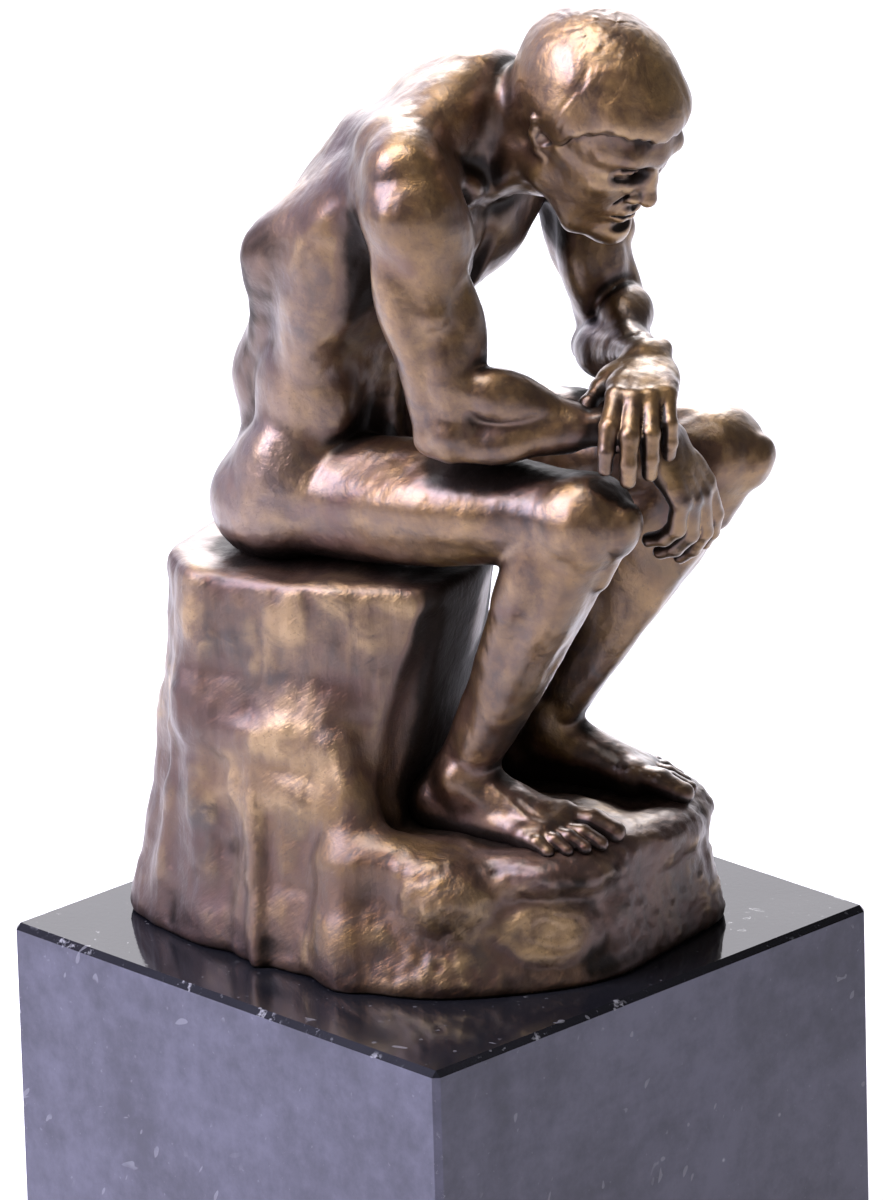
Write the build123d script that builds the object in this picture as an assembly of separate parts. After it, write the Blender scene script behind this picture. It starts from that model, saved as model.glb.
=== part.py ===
# Bronze statuette of a seated figure in thought, on a rock, bolted to a square black marble plinth.
# Row frame: +Z up, origin at the centre of the underside of the felt pad, plinth sides along X and Y, -Y is the front.
# The figure is cast in sections (head, torso, lap, arms, lower legs) that are dowelled, cross-pinned and chased,
# it is bolted down through the seat of a hollow rock casting, and the rock is bolted down through the plinth.
from build123d import *

import math
import os

# ---------------------------------------------------------------- driving dimensions (mm)
FELT_T = 1.5            # felt pad under the plinth
FELT_INSET = 2.0        # felt stops this far short of the plinth's edge
PLINTH_S = 120.0        # side of the square plinth
PLINTH_H = 90.0         # height of the plinth
PLINTH_EDGE = 1.2       # eased edges of the plinth
TOP = FELT_T + PLINTH_H  # z of the plinth's top face

FIG_SCALE = 0.93        # model units of the figure below to millimetres
FIG_TURN = 20.0         # the figure is turned this far from the plinth's front, degrees
FIG_BACK = -11.0        # the figure's origin lies this far back of the plinth's centre
FIG_SIDE = 4.0          # and this far to the figure's left
FIG_UP = 12.5           # and this far above the plinth's top

WALL = 4.5              # wall of the hollow castings
SEAT_Z = 76.2           # seat of the rock above the plinth
LEDGE_Z = 25.0          # ledge under the feet, above the plinth

DOWEL_R = 2.2           # section dowels
DOWEL_FIT = 0.03        # radial gap of a brazed dowel
PIN_R = 0.9             # cross pins
STUD_R = 3.0            # M6 studs
STUD_HOLE_R = 3.6       # clearance hole of a stud in the stone
WASHER_R = 9.0
WASHER_T = 1.6
NUT_AF = 10.0           # M6 hexagon nut, across flats
NUT_H = 5.0
CBORE_R = 13.0          # counterbore under the plinth
CBORE_D = 16.0
BOSS_R = 7.5            # bosses inside the rock that take the studs
BOSS_H = 26.0

# ---------------------------------------------------------------- the figure's joints (model units, facing -Y, z above the plinth)
HIP = {-1: (-15, 35, 83), 1: (15, 28, 84)}
KNEE = {-1: (-24, -34, 88), 1: (23, -43, 89)}
ANKLE = {-1: (-20, -3, 26.5), 1: (14, -6.5, 26.5)}
SHOULDER = {-1: (-31, 2, 159), 1: (30, -7, 156)}
ELBOW = {-1: (-30.5, -7, 106), 1: (30, -15, 107)}
WRIST = {-1: (-13, -45.5, 106), 1: (-1, -37.5, 116)}
FINGERS = {-1: (-10, -48.5, 74), 1: (-25, -44, 113.5)}
SOLE = 13.5
SPINE = [  # centre, half width, half depth
    ((0, 37, 96), 25, 18.5),
    ((0, 36, 110), 22.5, 15.5),
    ((0, 29, 128), 27, 18),
    ((0, 17, 146), 31, 18.5),
    ((0, 6, 159), 27, 14),
    ((0, -5, 166), 12.5, 11),
]
HEAD = (-1, -29, 168.5)
HEAD_HALF = (14.5, 18.5, 21.5)
HEAD_BOW = 34.0

SIDES = {-1: "right", 1: "left"}  # the figure faces -Y, so its right side is -X

# ---------------------------------------------------------------- helpers
_c, _s = math.cos(math.radians(FIG_TURN)), math.sin(math.radians(FIG_TURN))


def L(x, y, z):
    """A point of the rock's local frame (mm, turned with the figure) in the row frame."""
    return Vector(x * _c - y * _s, x * _s + y * _c, z + TOP)


def P(p):
    """A point of the figure (model units) in the row frame."""
    return L(p[0] * FIG_SCALE + FIG_SIDE, p[1] * FIG_SCALE + FIG_BACK, p[2] * FIG_SCALE + FIG_UP)


def D(v):
    """A direction of the figure in the row frame."""
    return Vector(v[0] * _c - v[1] * _s, v[0] * _s + v[1] * _c, v[2])


def lerp(a, b, t):
    return tuple(a[i] + (b[i] - a[i]) * t for i in range(3))


def rod(a, b, r0, r1=None):
    """A round bar or cone between two row-frame points, radii in mm."""
    d = b - a
    plane = Plane(origin=a, z_dir=d)
    if r1 is None or abs(r1 - r0) < 1e-6:
        return Solid.make_cylinder(r0, d.length, plane)
    return Solid.make_cone(r0, r1, d.length, plane)


def limb(a, b, r0, r1):
    """A tapered limb between two joints, model units."""
    return rod(P(a), P(b), r0 * FIG_SCALE, r1 * FIG_SCALE)


def ball(p, r):
    return Pos(*P(p)) * Sphere(r * FIG_SCALE)


def egg(p, half, pitch=0.0):
    """An ellipsoid of the figure, pitched forward about its own X axis."""
    e = scale(Sphere(1), by=tuple(h * FIG_SCALE for h in half))
    return Pos(*P(p)) * Rot(0, 0, FIG_TURN) * Rot(pitch, 0, 0) * e


def one(shape):
    """The largest solid of a boolean result."""
    return sorted(shape.solids(), key=lambda s: s.volume)[-1]


def polygon_at(points, z):
    return Face(Wire.make_polygon([L(x, y, z) for x, y in points], close=True))


def frustum(low, z0, high, z1):
    return Solid.make_loft([polygon_at(low, z0).outer_wire(), polygon_at(high, z1).outer_wire()], True)


def shrink(points, d):
    """Pulls a polygon in towards its centre by about d."""
    cx = sum(p[0] for p in points) / len(points)
    cy = sum(p[1] for p in points) / len(points)
    out = []
    for x, y in points:
        r = math.hypot(x - cx, y - cy)
        k = (r - d) / r
        out.append((cx + (x - cx) * k, cy + (y - cy) * k))
    return out


def section(centre, half_w, half_d, tilt):
    """An elliptical section of the body, tilted forward by tilt degrees."""
    x_dir = D((1, 0, 0))
    z_dir = D((0, -math.sin(math.radians(tilt)), math.cos(math.radians(tilt))))
    plane = Plane(origin=P(centre), x_dir=x_dir, z_dir=z_dir)
    return plane * Ellipse(half_w * FIG_SCALE, half_d * FIG_SCALE)


# ---------------------------------------------------------------- plinth and felt
plinth = Pos(0, 0, FELT_T + PLINTH_H / 2) * Box(PLINTH_S, PLINTH_S, PLINTH_H)
plinth = chamfer(plinth.edges(), PLINTH_EDGE)
felt_side = PLINTH_S - 2 * FELT_INSET
felt_pad = Pos(0, 0, FELT_T / 2) * Box(felt_side, felt_side, FELT_T)

STUDS = [L(-25, 27, 0), L(24, 27, 0)]  # where the rock is bolted down, on the plinth's top face
for s in STUDS:
    plinth -= rod(Vector(s.X, s.Y, FELT_T), Vector(s.X, s.Y, TOP), STUD_HOLE_R)
    plinth -= rod(Vector(s.X, s.Y, FELT_T), Vector(s.X, s.Y, FELT_T + CBORE_D), CBORE_R)

# ---------------------------------------------------------------- rock: a hollow casting, open underneath
MOUND_LOW = [(18, 55.5), (40, 38), (50, 5), (47, -30), (27, -54), (-20, -52), (-45, -30), (-52, 5), (-45, 36), (-24, 56)]
MOUND_TOP = [(18, 55), (38, 38), (46, 4), (43, -28), (25, -51), (-18, -48), (-40, -27), (-47, 4), (-43, 37), (-23, 55.5)]
BLOCK_LOW = [(16, 53), (35, 37), (40, 22), (37, 5), (18, 1), (-18, 1), (-38, 0), (-44, 14), (-41, 37), (-21, 53.5)]
BLOCK_TOP = [(16, 52), (29, 44), (33, 30), (31, 6), (18, -5), (-10, -14), (-26, -6), (-35, 14), (-33, 38), (-18, 52)]

rock_casting = frustum(MOUND_LOW, 0, MOUND_TOP, LEDGE_Z).fuse(frustum(BLOCK_LOW, LEDGE_Z - 9, BLOCK_TOP, SEAT_Z))
rock_casting -= frustum(shrink(MOUND_LOW, WALL), -1, shrink(MOUND_TOP, WALL), LEDGE_Z - WALL)
rock_casting -= frustum(shrink(BLOCK_LOW, WALL), -1, shrink(BLOCK_TOP, WALL), SEAT_Z - WALL - 0.5)
for s in STUDS:
    boss = rod(Vector(s.X, s.Y, TOP), Vector(s.X, s.Y, TOP + BOSS_H), BOSS_R)
    web_end = L(-45, 27, 0) if s.X < 0 else L(41, 27, 0)
    rock_casting += boss
    # a web ties the boss to the side wall of the casting
    d = Vector(web_end.X - s.X, web_end.Y - s.Y, 0)
    web = Box(d.length - 4, 6, LEDGE_Z - 3)
    mid = Vector(s.X, s.Y, TOP) + d * (0.5 * (d.length - 4) / d.length)
    web = Pos(mid.X, mid.Y, TOP + (LEDGE_Z - 3) / 2) * Rot(0, 0, math.degrees(math.atan2(d.Y, d.X))) * web
    rock_casting += web
for s in STUDS:
    rock_casting -= rod(Vector(s.X, s.Y, TOP - 1), Vector(s.X, s.Y, TOP + BOSS_H - 5), STUD_R + DOWEL_FIT)

# ---------------------------------------------------------------- lap: hips and thighs in one casting
pelvis = Solid.make_loft(
    [section((0, 37, 67), 21, 14, 0).face().outer_wire(),
     section((0, 37, 77), 25, 18, 0).face().outer_wire(),
     section((0, 37, 96), 26, 19, 5).face().outer_wire(),
     section((0, 36, 107), 24, 17, 10).face().outer_wire()], False)
lap_casting = pelvis
for k in (-1, 1):
    end = lerp(HIP[k], KNEE[k], 0.87)
    lap_casting = lap_casting.fuse(limb(HIP[k], end, 17.5, 14.6), ball(HIP[k], 17.5))
# the web of the casting that joins the thighs
span = Solid.make_loft(
    [section((0, 20, 86), 18, 9, 90).face().outer_wire(), section((0, -18, 87), 17, 7, 90).face().outer_wire()], False)
lap_casting = lap_casting.fuse(span)
lap_casting = one(lap_casting - rock_casting)
# the thighs are cored, and the middle stays solid as the boss of the seat stud
for k in (-1, 1):
    lap_casting = one(lap_casting - limb(lerp(HIP[k], KNEE[k], 0.02), lerp(HIP[k], KNEE[k], 0.70), 11.5, 9.5))

# ---------------------------------------------------------------- torso: hollow, slips over a spigot of the lap
tilts = [4, 10, 26, 33, 42, 56]
torso = Solid.make_loft([section(c, w, d, t).face().outer_wire() for (c, w, d), t in zip(SPINE, tilts)], False)
torso_core = Solid.make_loft(
    [section(c, w - 6, d - 6, t).face().outer_wire() for (c, w, d), t in list(zip(SPINE, tilts))[:4]], False)
torso_casting = one(torso - lap_casting)
torso_casting = one(torso_casting - one(torso_core - lap_casting))

# ---------------------------------------------------------------- lower legs with the feet
leg = {}
for k in (-1, 1):
    shape = ball(KNEE[k], 12.2).fuse(
        limb(lerp(HIP[k], KNEE[k], 0.80), KNEE[k], 12.2, 12.0),
        limb(KNEE[k], lerp(KNEE[k], ANKLE[k], 0.35), 11.0, 11.2),
        limb(lerp(KNEE[k], ANKLE[k], 0.35), ANKLE[k], 11.2, 6.2),
        ball(ANKLE[k], 7.0),
    )
    ax, ay, az = ANKLE[k]
    foot_plane = Plane(origin=P((ax + 1.5 * k, ay - 11, SOLE)), x_dir=D((1, 0, 0)), z_dir=(0, 0, 1))
    foot = extrude(foot_plane * Rot(0, 0, 6 * k) * RectangleRounded(17 * FIG_SCALE, 45 * FIG_SCALE, 7 * FIG_SCALE), 7.5 * FIG_SCALE)
    shape = shape.fuse(foot.solid(), limb((ax, ay, az), (ax + 2 * k, ay - 20, 18.5), 6.2, 4.6))
    leg[k] = one(shape - lap_casting)
    leg[k] = one(leg[k] - rock_casting)

# ---------------------------------------------------------------- arms with the hands
arm = {}
for k in (-1, 1):
    shape = ball(lerp(SHOULDER[k], ELBOW[k], 0.06), 10.6).fuse(
        limb(lerp(SHOULDER[k], ELBOW[k], 0.06), ELBOW[k], 10.2, 7.4),
        ball(ELBOW[k], 7.4),
        limb(ELBOW[k], lerp(ELBOW[k], WRIST[k], 0.3), 7.4, 7.8),
        limb(lerp(ELBOW[k], WRIST[k], 0.3), WRIST[k], 7.8, 4.8),
        ball(WRIST[k], 4.9),
        limb(WRIST[k], FINGERS[k], 5.4, 4.0),
    )
    shape = one(shape - torso)
    shape = one(shape - lap_casting)
    arm[k] = one(shape - leg[k])
arm[1] = one(arm[1] - arm[-1])

# ---------------------------------------------------------------- head with the neck
head_casting = egg(HEAD, HEAD_HALF, HEAD_BOW).solid().fuse(limb((0, -4, 165), (-1, -19, 168), 10.2, 9.6))
head_casting = one(head_casting - torso)

# ---------------------------------------------------------------- dowels between the castings
def dowel(a, b, r=DOWEL_R):
    return rod(P(a), P(b), r)


def bore(part, a, b, r):
    return one(part - rod(P(a), P(b), r + DOWEL_FIT))


neck = ((0, 2, 160), (-0.5, -19, 168))
neck_dowel = dowel(*neck)
torso_casting = bore(torso_casting, *neck, DOWEL_R)
head_casting = bore(head_casting, *neck, DOWEL_R)

shoulder_dowels, knee_dowels, foot_dowels, waist_dowels, cross_pins = [], [], [], [], []
for k in (-1, 1):
    a, b = (15 * k, 9, 155), (34 * k, -3, 155)
    shoulder_dowels.append(dowel(a, b))
    torso_casting = bore(torso_casting, a, b, DOWEL_R)
    arm[k] = bore(arm[k], a, b, DOWEL_R)

    a, b = lerp(HIP[k], KNEE[k], 0.74), lerp(HIP[k], KNEE[k], 0.99)
    knee_dowels.append(dowel(a, b))
    lap_casting = bore(lap_casting, a, b, DOWEL_R)
    leg[k] = bore(leg[k], a, b, DOWEL_R)

    ax, ay, az = ANKLE[k]
    a, b = (ax, ay + 2, (LEDGE_Z - WALL - FIG_UP) / FIG_SCALE), (ax, ay + 2, 24)
    foot_dowels.append(dowel(a, b, DOWEL_R * 0.8))
    rock_casting = bore(rock_casting, a, b, DOWEL_R * 0.8)
    leg[k] = bore(leg[k], a, b, DOWEL_R * 0.8)

    a, b = (20.5 * k, 36.5, 93), (20.0 * k, 35.5, 112)
    waist_dowels.append(dowel(a, b, DOWEL_R * 0.8))
    lap_casting = bore(lap_casting, a, b, DOWEL_R * 0.8)
    torso_casting = bore(torso_casting, a, b, DOWEL_R * 0.8)

# ---------------------------------------------------------------- cross pins lock the neck and knee dowels
for k in (-1, 1):
    at = lerp(HIP[k], KNEE[k], 0.93)
    a, b = (at[0], at[1], at[2] - 9), (at[0], at[1], at[2] + 9)
    cross_pins.append(rod(P(a), P(b), PIN_R))
    leg[k] = bore(leg[k], a, b, PIN_R)
    knee_dowels[0 if k < 0 else 1] = bore(knee_dowels[0 if k < 0 else 1], a, b, PIN_R)
at = lerp(*neck, 0.72)
a, b = (at[0] - 7.5, at[1], at[2]), (at[0] + 7.5, at[1], at[2])
cross_pins.append(rod(P(a), P(b), PIN_R))
head_casting = bore(head_casting, a, b, PIN_R)
neck_dowel = bore(neck_dowel, a, b, PIN_R)

# ---------------------------------------------------------------- seat stud: the lap is drawn down onto the rock from inside it
seat_at = P((0, 34, 0))
seat_under = TOP + SEAT_Z - WALL - 0.5
stud_top = TOP + SEAT_Z + 16
seat_stud = rod(Vector(seat_at.X, seat_at.Y, seat_under - WASHER_T - NUT_H - 4), Vector(seat_at.X, seat_at.Y, stud_top), STUD_R)
lap_casting = one(lap_casting - rod(Vector(seat_at.X, seat_at.Y, TOP + SEAT_Z - 10), Vector(seat_at.X, seat_at.Y, stud_top + 1), STUD_R + DOWEL_FIT))
rock_casting = one(rock_casting - rod(Vector(seat_at.X, seat_at.Y, TOP + SEAT_Z - 12), Vector(seat_at.X, seat_at.Y, TOP + SEAT_Z + 5), STUD_HOLE_R))


def washer(x, y, z):
    """A plain washer whose lower face is at z."""
    return one(rod(Vector(x, y, z), Vector(x, y, z + WASHER_T), WASHER_R)
               - rod(Vector(x, y, z - 1), Vector(x, y, z + WASHER_T + 1), STUD_R + 0.2))


def nut(x, y, z):
    """A hexagon nut whose lower face is at z."""
    hexagon = extrude(Plane(origin=(x, y, z)) * RegularPolygon(NUT_AF / 2, 6, major_radius=False), NUT_H).solid()
    return one(hexagon - rod(Vector(x, y, z - 1), Vector(x, y, z + NUT_H + 1), STUD_R + DOWEL_FIT))


seat_washer = washer(seat_at.X, seat_at.Y, seat_under - WASHER_T)
seat_nut = nut(seat_at.X, seat_at.Y, seat_under - WASHER_T - NUT_H)

# ---------------------------------------------------------------- plinth studs, washers and nuts
plinth_studs, plinth_washers, plinth_nuts = [], [], []
for s in STUDS:
    z = FELT_T + CBORE_D
    plinth_studs.append(rod(Vector(s.X, s.Y, z - WASHER_T - NUT_H - 3), Vector(s.X, s.Y, TOP + BOSS_H - 5), STUD_R))
    plinth_washers.append(washer(s.X, s.Y, z - WASHER_T))
    plinth_nuts.append(nut(s.X, s.Y, z - WASHER_T - NUT_H))

# ---------------------------------------------------------------- write one file per node
nodes = {
    "marble_plinth": [plinth.solid()],
    "felt_pad": [felt_pad.solid()],
    "rock_casting": [one(rock_casting)],
    "lap_casting": [lap_casting],
    "torso_casting": [torso_casting],
    "head_casting": [head_casting],
    "right_arm_casting": [arm[-1]],
    "left_arm_casting": [arm[1]],
    "right_leg_casting": [leg[-1]],
    "left_leg_casting": [leg[1]],
    "neck_dowel": [neck_dowel],
    "shoulder_dowels": shoulder_dowels,
    "waist_dowels": waist_dowels,
    "knee_dowels": knee_dowels,
    "foot_dowels": foot_dowels,
    "cross_pins": cross_pins,
    "seat_stud": [seat_stud],
    "seat_washer": [seat_washer],
    "seat_nut": [seat_nut],
    "plinth_studs": plinth_studs,
    "plinth_washers": plinth_washers,
    "plinth_nuts": plinth_nuts,
}
os.makedirs("parts", exist_ok=True)
for name, solids in nodes.items():
    shape = solids[0] if len(solids) == 1 else Compound(solids)
    export_step(shape, f"parts/{name}.step")
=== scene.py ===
# Looks of a bronze statuette: a seated figure in thought on a rock, on a square black marble plinth.
# The figure is modelled as an implicit surface: muscles, bones and hair are blended spindles and ellipsoids.
import math

import bpy
import numpy as np
from mathutils import Matrix, Vector


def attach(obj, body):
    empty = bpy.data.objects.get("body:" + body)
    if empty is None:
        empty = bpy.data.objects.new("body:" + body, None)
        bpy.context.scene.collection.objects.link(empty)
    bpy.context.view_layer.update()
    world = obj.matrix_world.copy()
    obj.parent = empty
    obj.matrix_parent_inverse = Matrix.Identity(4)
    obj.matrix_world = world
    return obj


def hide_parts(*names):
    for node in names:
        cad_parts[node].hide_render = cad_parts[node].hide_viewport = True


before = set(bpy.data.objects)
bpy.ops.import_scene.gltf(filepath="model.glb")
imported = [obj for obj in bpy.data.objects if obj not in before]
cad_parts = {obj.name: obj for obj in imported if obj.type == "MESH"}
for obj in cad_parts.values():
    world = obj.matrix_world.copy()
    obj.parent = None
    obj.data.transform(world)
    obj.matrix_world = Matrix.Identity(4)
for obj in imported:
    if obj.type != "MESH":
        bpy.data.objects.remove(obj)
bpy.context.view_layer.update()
COARSE = 1.0

# ------------------------------------------------------------------ the frame's numbers (as the construction has them)
FIG_SCALE, FIG_TURN, FIG_BACK, FIG_SIDE, FIG_UP, TOP = 0.93, 20.0, -11.0, 4.0, 12.5, 91.5
CT, ST = math.cos(math.radians(FIG_TURN)), math.sin(math.radians(FIG_TURN))


def to_row(v):
    """Figure units to the row frame in metres."""
    x = v[:, 0] * FIG_SCALE + FIG_SIDE
    y = v[:, 1] * FIG_SCALE + FIG_BACK
    z = v[:, 2] * FIG_SCALE + FIG_UP + TOP
    return np.stack([x * CT - y * ST, x * ST + y * CT, z], 1) * 0.001


V = lambda *p: np.array(p, float)


def unit(v):
    v = np.asarray(v, float)
    return v / np.linalg.norm(v)


def mix(a, b, t):
    return np.asarray(a, float) * (1 - t) + np.asarray(b, float) * t


# ------------------------------------------------------------------ implicit modelling
class Prim:
    __slots__ = ("kind", "a", "b", "r", "m", "n", "s", "k", "op", "R", "lo", "hi")

    def __init__(self, **kw):
        for key in self.__slots__:
            setattr(self, key, kw.get(key))


def spindle(a, b, r0, rm, r1, m=0.5, n=None, s=1.0, k=3.0, op="add"):
    """A muscle from a to b: end radii r0 and r1, rm at the share m of the way; flattened by s along n."""
    a, b = np.asarray(a, float), np.asarray(b, float)
    pad = max(r0, rm, r1) * max(1.0, s) + k + 1.2
    return Prim(kind="S", a=a, b=b, r=(r0, rm, r1), m=m, n=None if n is None else unit(n), s=s, k=k, op=op,
                lo=np.minimum(a, b) - pad, hi=np.maximum(a, b) + pad)


def cap(a, b, r0, r1=None, k=2.0, op="add"):
    r1 = r0 if r1 is None else r1
    return spindle(a, b, r0, (r0 + r1) / 2, r1, 0.5, k=k, op=op)


def egg(c, r, R=None, k=3.0, op="add"):
    """An ellipsoid; the columns of R are its axes."""
    c = np.asarray(c, float)
    R = np.eye(3) if R is None else np.asarray(R, float)
    half = np.sqrt((R * np.asarray(r, float)) ** 2 @ np.ones(3))
    pad = k + 1.2
    return Prim(kind="E", a=c, r=np.asarray(r, float), R=R, k=k, op=op, lo=c - half - pad, hi=c + half + pad)


def chain(points, radii, k=1.0, op="add"):
    return [cap(points[i], points[i + 1], radii[i], radii[i + 1], k=k, op=op) for i in range(len(points) - 1)]


def axes(x=None, y=None, z=None):
    """A right-handed rotation from two given directions; the first one given is kept exactly."""
    if x is not None and y is not None:
        x = unit(x)
        z = unit(np.cross(x, y))
        return np.stack([x, np.cross(z, x), z], 1)
    if z is not None and x is not None:
        z = unit(z)
        y = unit(np.cross(z, x))
        return np.stack([np.cross(y, z), y, z], 1)
    z = unit(z)
    x = unit(np.cross(y, z))
    return np.stack([x, np.cross(z, x), z], 1)


def smin(a, b, k):
    h = np.maximum(k - np.abs(a - b), 0.0) / k
    return np.minimum(a, b) - h * h * k * 0.25


def smax(a, b, k):
    return -smin(-a, -b, k)


class Grid:
    def __init__(self, lo, hi, h):
        self.h = h * COARSE
        self.lo = np.asarray(lo, float)
        self.n = np.ceil((np.asarray(hi, float) - self.lo) / self.h).astype(int) + 1
        self.axis = [(self.lo[i] + self.h * np.arange(self.n[i])).astype(np.float32) for i in range(3)]

    def box(self, lo, hi):
        i0 = np.clip(np.floor((lo - self.lo) / self.h).astype(int), 0, self.n)
        i1 = np.clip(np.ceil((hi - self.lo) / self.h).astype(int) + 1, 0, self.n)
        if np.any(i1 - i0 < 1):
            return None, None
        sl = tuple(slice(i0[i], i1[i]) for i in range(3))
        x, y, z = (self.axis[i][sl[i]] for i in range(3))
        return sl, (x[:, None, None], y[None, :, None], z[None, None, :])

    def xyz(self):
        x, y, z = self.axis
        return x[:, None, None], y[None, :, None], z[None, None, :]

    def empty(self, value=20.0):
        return np.full(self.n, value, np.float32)


def distance(p, xyz):
    x, y, z = xyz
    if p.kind == "S":
        ab = (p.b - p.a).astype(np.float32)
        L2 = float(ab @ ab) + 1e-9
        px, py, pz = x - np.float32(p.a[0]), y - np.float32(p.a[1]), z - np.float32(p.a[2])
        t = np.clip((px * ab[0] + py * ab[1] + pz * ab[2]) / np.float32(L2), 0, 1)
        qx, qy, qz = px - t * ab[0], py - t * ab[1], pz - t * ab[2]
        q2 = qx * qx + qy * qy + qz * qz
        if p.n is not None and p.s != 1.0:
            n = p.n.astype(np.float32)
            qn = qx * n[0] + qy * n[1] + qz * n[2]
            q2 = q2 + qn * qn * np.float32(1.0 / (p.s * p.s) - 1.0)
        r0, rm, r1 = p.r
        if p.m < 0.499:
            w = 1 - (1 - t) ** np.float32(math.log(0.5) / math.log(1 - p.m))
        else:
            w = t if p.m < 0.501 else t ** np.float32(math.log(0.5) / math.log(p.m))
        mid = r0 + (r1 - r0) * p.m
        rad = np.float32(r0) + t * np.float32(r1 - r0) + (4 * w * (1 - w)) ** np.float32(1.5) * np.float32(rm - mid)
        d = np.sqrt(np.maximum(q2, 1e-9)) - rad
        return d * np.float32(min(1.0, p.s)) if p.n is not None else d
    c = p.a.astype(np.float32)
    R = p.R.astype(np.float32)
    dx, dy, dz = x - c[0], y - c[1], z - c[2]
    u = (dx * R[0, 0] + dy * R[1, 0] + dz * R[2, 0]) / np.float32(p.r[0])
    v = (dx * R[0, 1] + dy * R[1, 1] + dz * R[2, 1]) / np.float32(p.r[1])
    w = (dx * R[0, 2] + dy * R[1, 2] + dz * R[2, 2]) / np.float32(p.r[2])
    k0 = np.sqrt(u * u + v * v + w * w) + np.float32(1e-6)
    k1 = np.sqrt((u / p.r[0].astype(np.float32)) ** 2 + (v / p.r[1].astype(np.float32)) ** 2 + (w / p.r[2].astype(np.float32)) ** 2) + np.float32(1e-6)
    return k0 * (k0 - 1) / k1


def evaluate(grid, prims, D=None):
    D = grid.empty() if D is None else D
    for p in prims:
        sl, xyz = grid.box(p.lo, p.hi)
        if sl is None:
            continue
        d = distance(p, xyz)
        if p.op == "add":
            D[sl] = smin(D[sl], d, np.float32(p.k))
        elif p.op == "cut":
            D[sl] = smax(D[sl], -d, np.float32(p.k))
    return D


# ------------------------------------------------------------------ noise (seeded lattice, repeatable)
_rng = np.random.default_rng(7)
_LAT = _rng.random((64, 64, 64)).astype(np.float32)


def noise(p, scale, seed=0):
    """Smooth value noise from -1 to 1 at points (n, 3)."""
    q = p / scale + np.array([seed * 7.31, seed * 3.77, seed * 5.13])
    i = np.floor(q).astype(int)
    f = (q - i).astype(np.float32)
    f = f * f * f * (f * (f * 6 - 15) + 10)
    out = np.zeros(len(p), np.float32)
    for dx in (0, 1):
        wx = f[:, 0] if dx else 1 - f[:, 0]
        for dy in (0, 1):
            wy = f[:, 1] if dy else 1 - f[:, 1]
            for dz in (0, 1):
                wz = f[:, 2] if dz else 1 - f[:, 2]
                out += wx * wy * wz * _LAT[(i[:, 0] + dx) & 63, (i[:, 1] + dy) & 63, (i[:, 2] + dz) & 63]
    return out * 2 - 1


def fbm(p, scale, octaves=3, seed=0, gain=0.5):
    total, amp = np.zeros(len(p), np.float32), 1.0
    for o in range(octaves):
        total += amp * noise(p, scale / 2**o, seed + o * 3)
        amp *= gain
    return total


# ------------------------------------------------------------------ surface
def sample(D, grid, p):
    q = (p - grid.lo) / grid.h
    q = np.clip(q, 0, grid.n - 1.001)
    i = q.astype(int)
    f = (q - i).astype(np.float32)
    out = np.zeros(len(p), np.float32)
    for dx in (0, 1):
        for dy in (0, 1):
            for dz in (0, 1):
                w = (f[:, 0] if dx else 1 - f[:, 0]) * (f[:, 1] if dy else 1 - f[:, 1]) * (f[:, 2] if dz else 1 - f[:, 2])
                out += w * D[i[:, 0] + dx, i[:, 1] + dy, i[:, 2] + dz]
    return out


def gradient(D, grid, p, e=None):
    e = e or grid.h * 0.75
    g = np.zeros((len(p), 3), np.float32)
    for a in range(3):
        o = np.zeros(3)
        o[a] = e
        g[:, a] = sample(D, grid, p + o) - sample(D, grid, p - o)
    return g / (np.linalg.norm(g, axis=1, keepdims=True) + 1e-9)


def onto(D, grid, p):
    """Moves points to the zero surface of a field whose slope needn't be one."""
    g = np.zeros((len(p), 3), np.float32)
    for a in range(3):
        o = np.zeros(3)
        o[a] = grid.h * 0.5
        g[:, a] = (sample(D, grid, p + o) - sample(D, grid, p - o)) / grid.h
    step = g * (sample(D, grid, p) / ((g * g).sum(1) + 1e-4))[:, None]
    return p - np.clip(step, -grid.h, grid.h)


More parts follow.
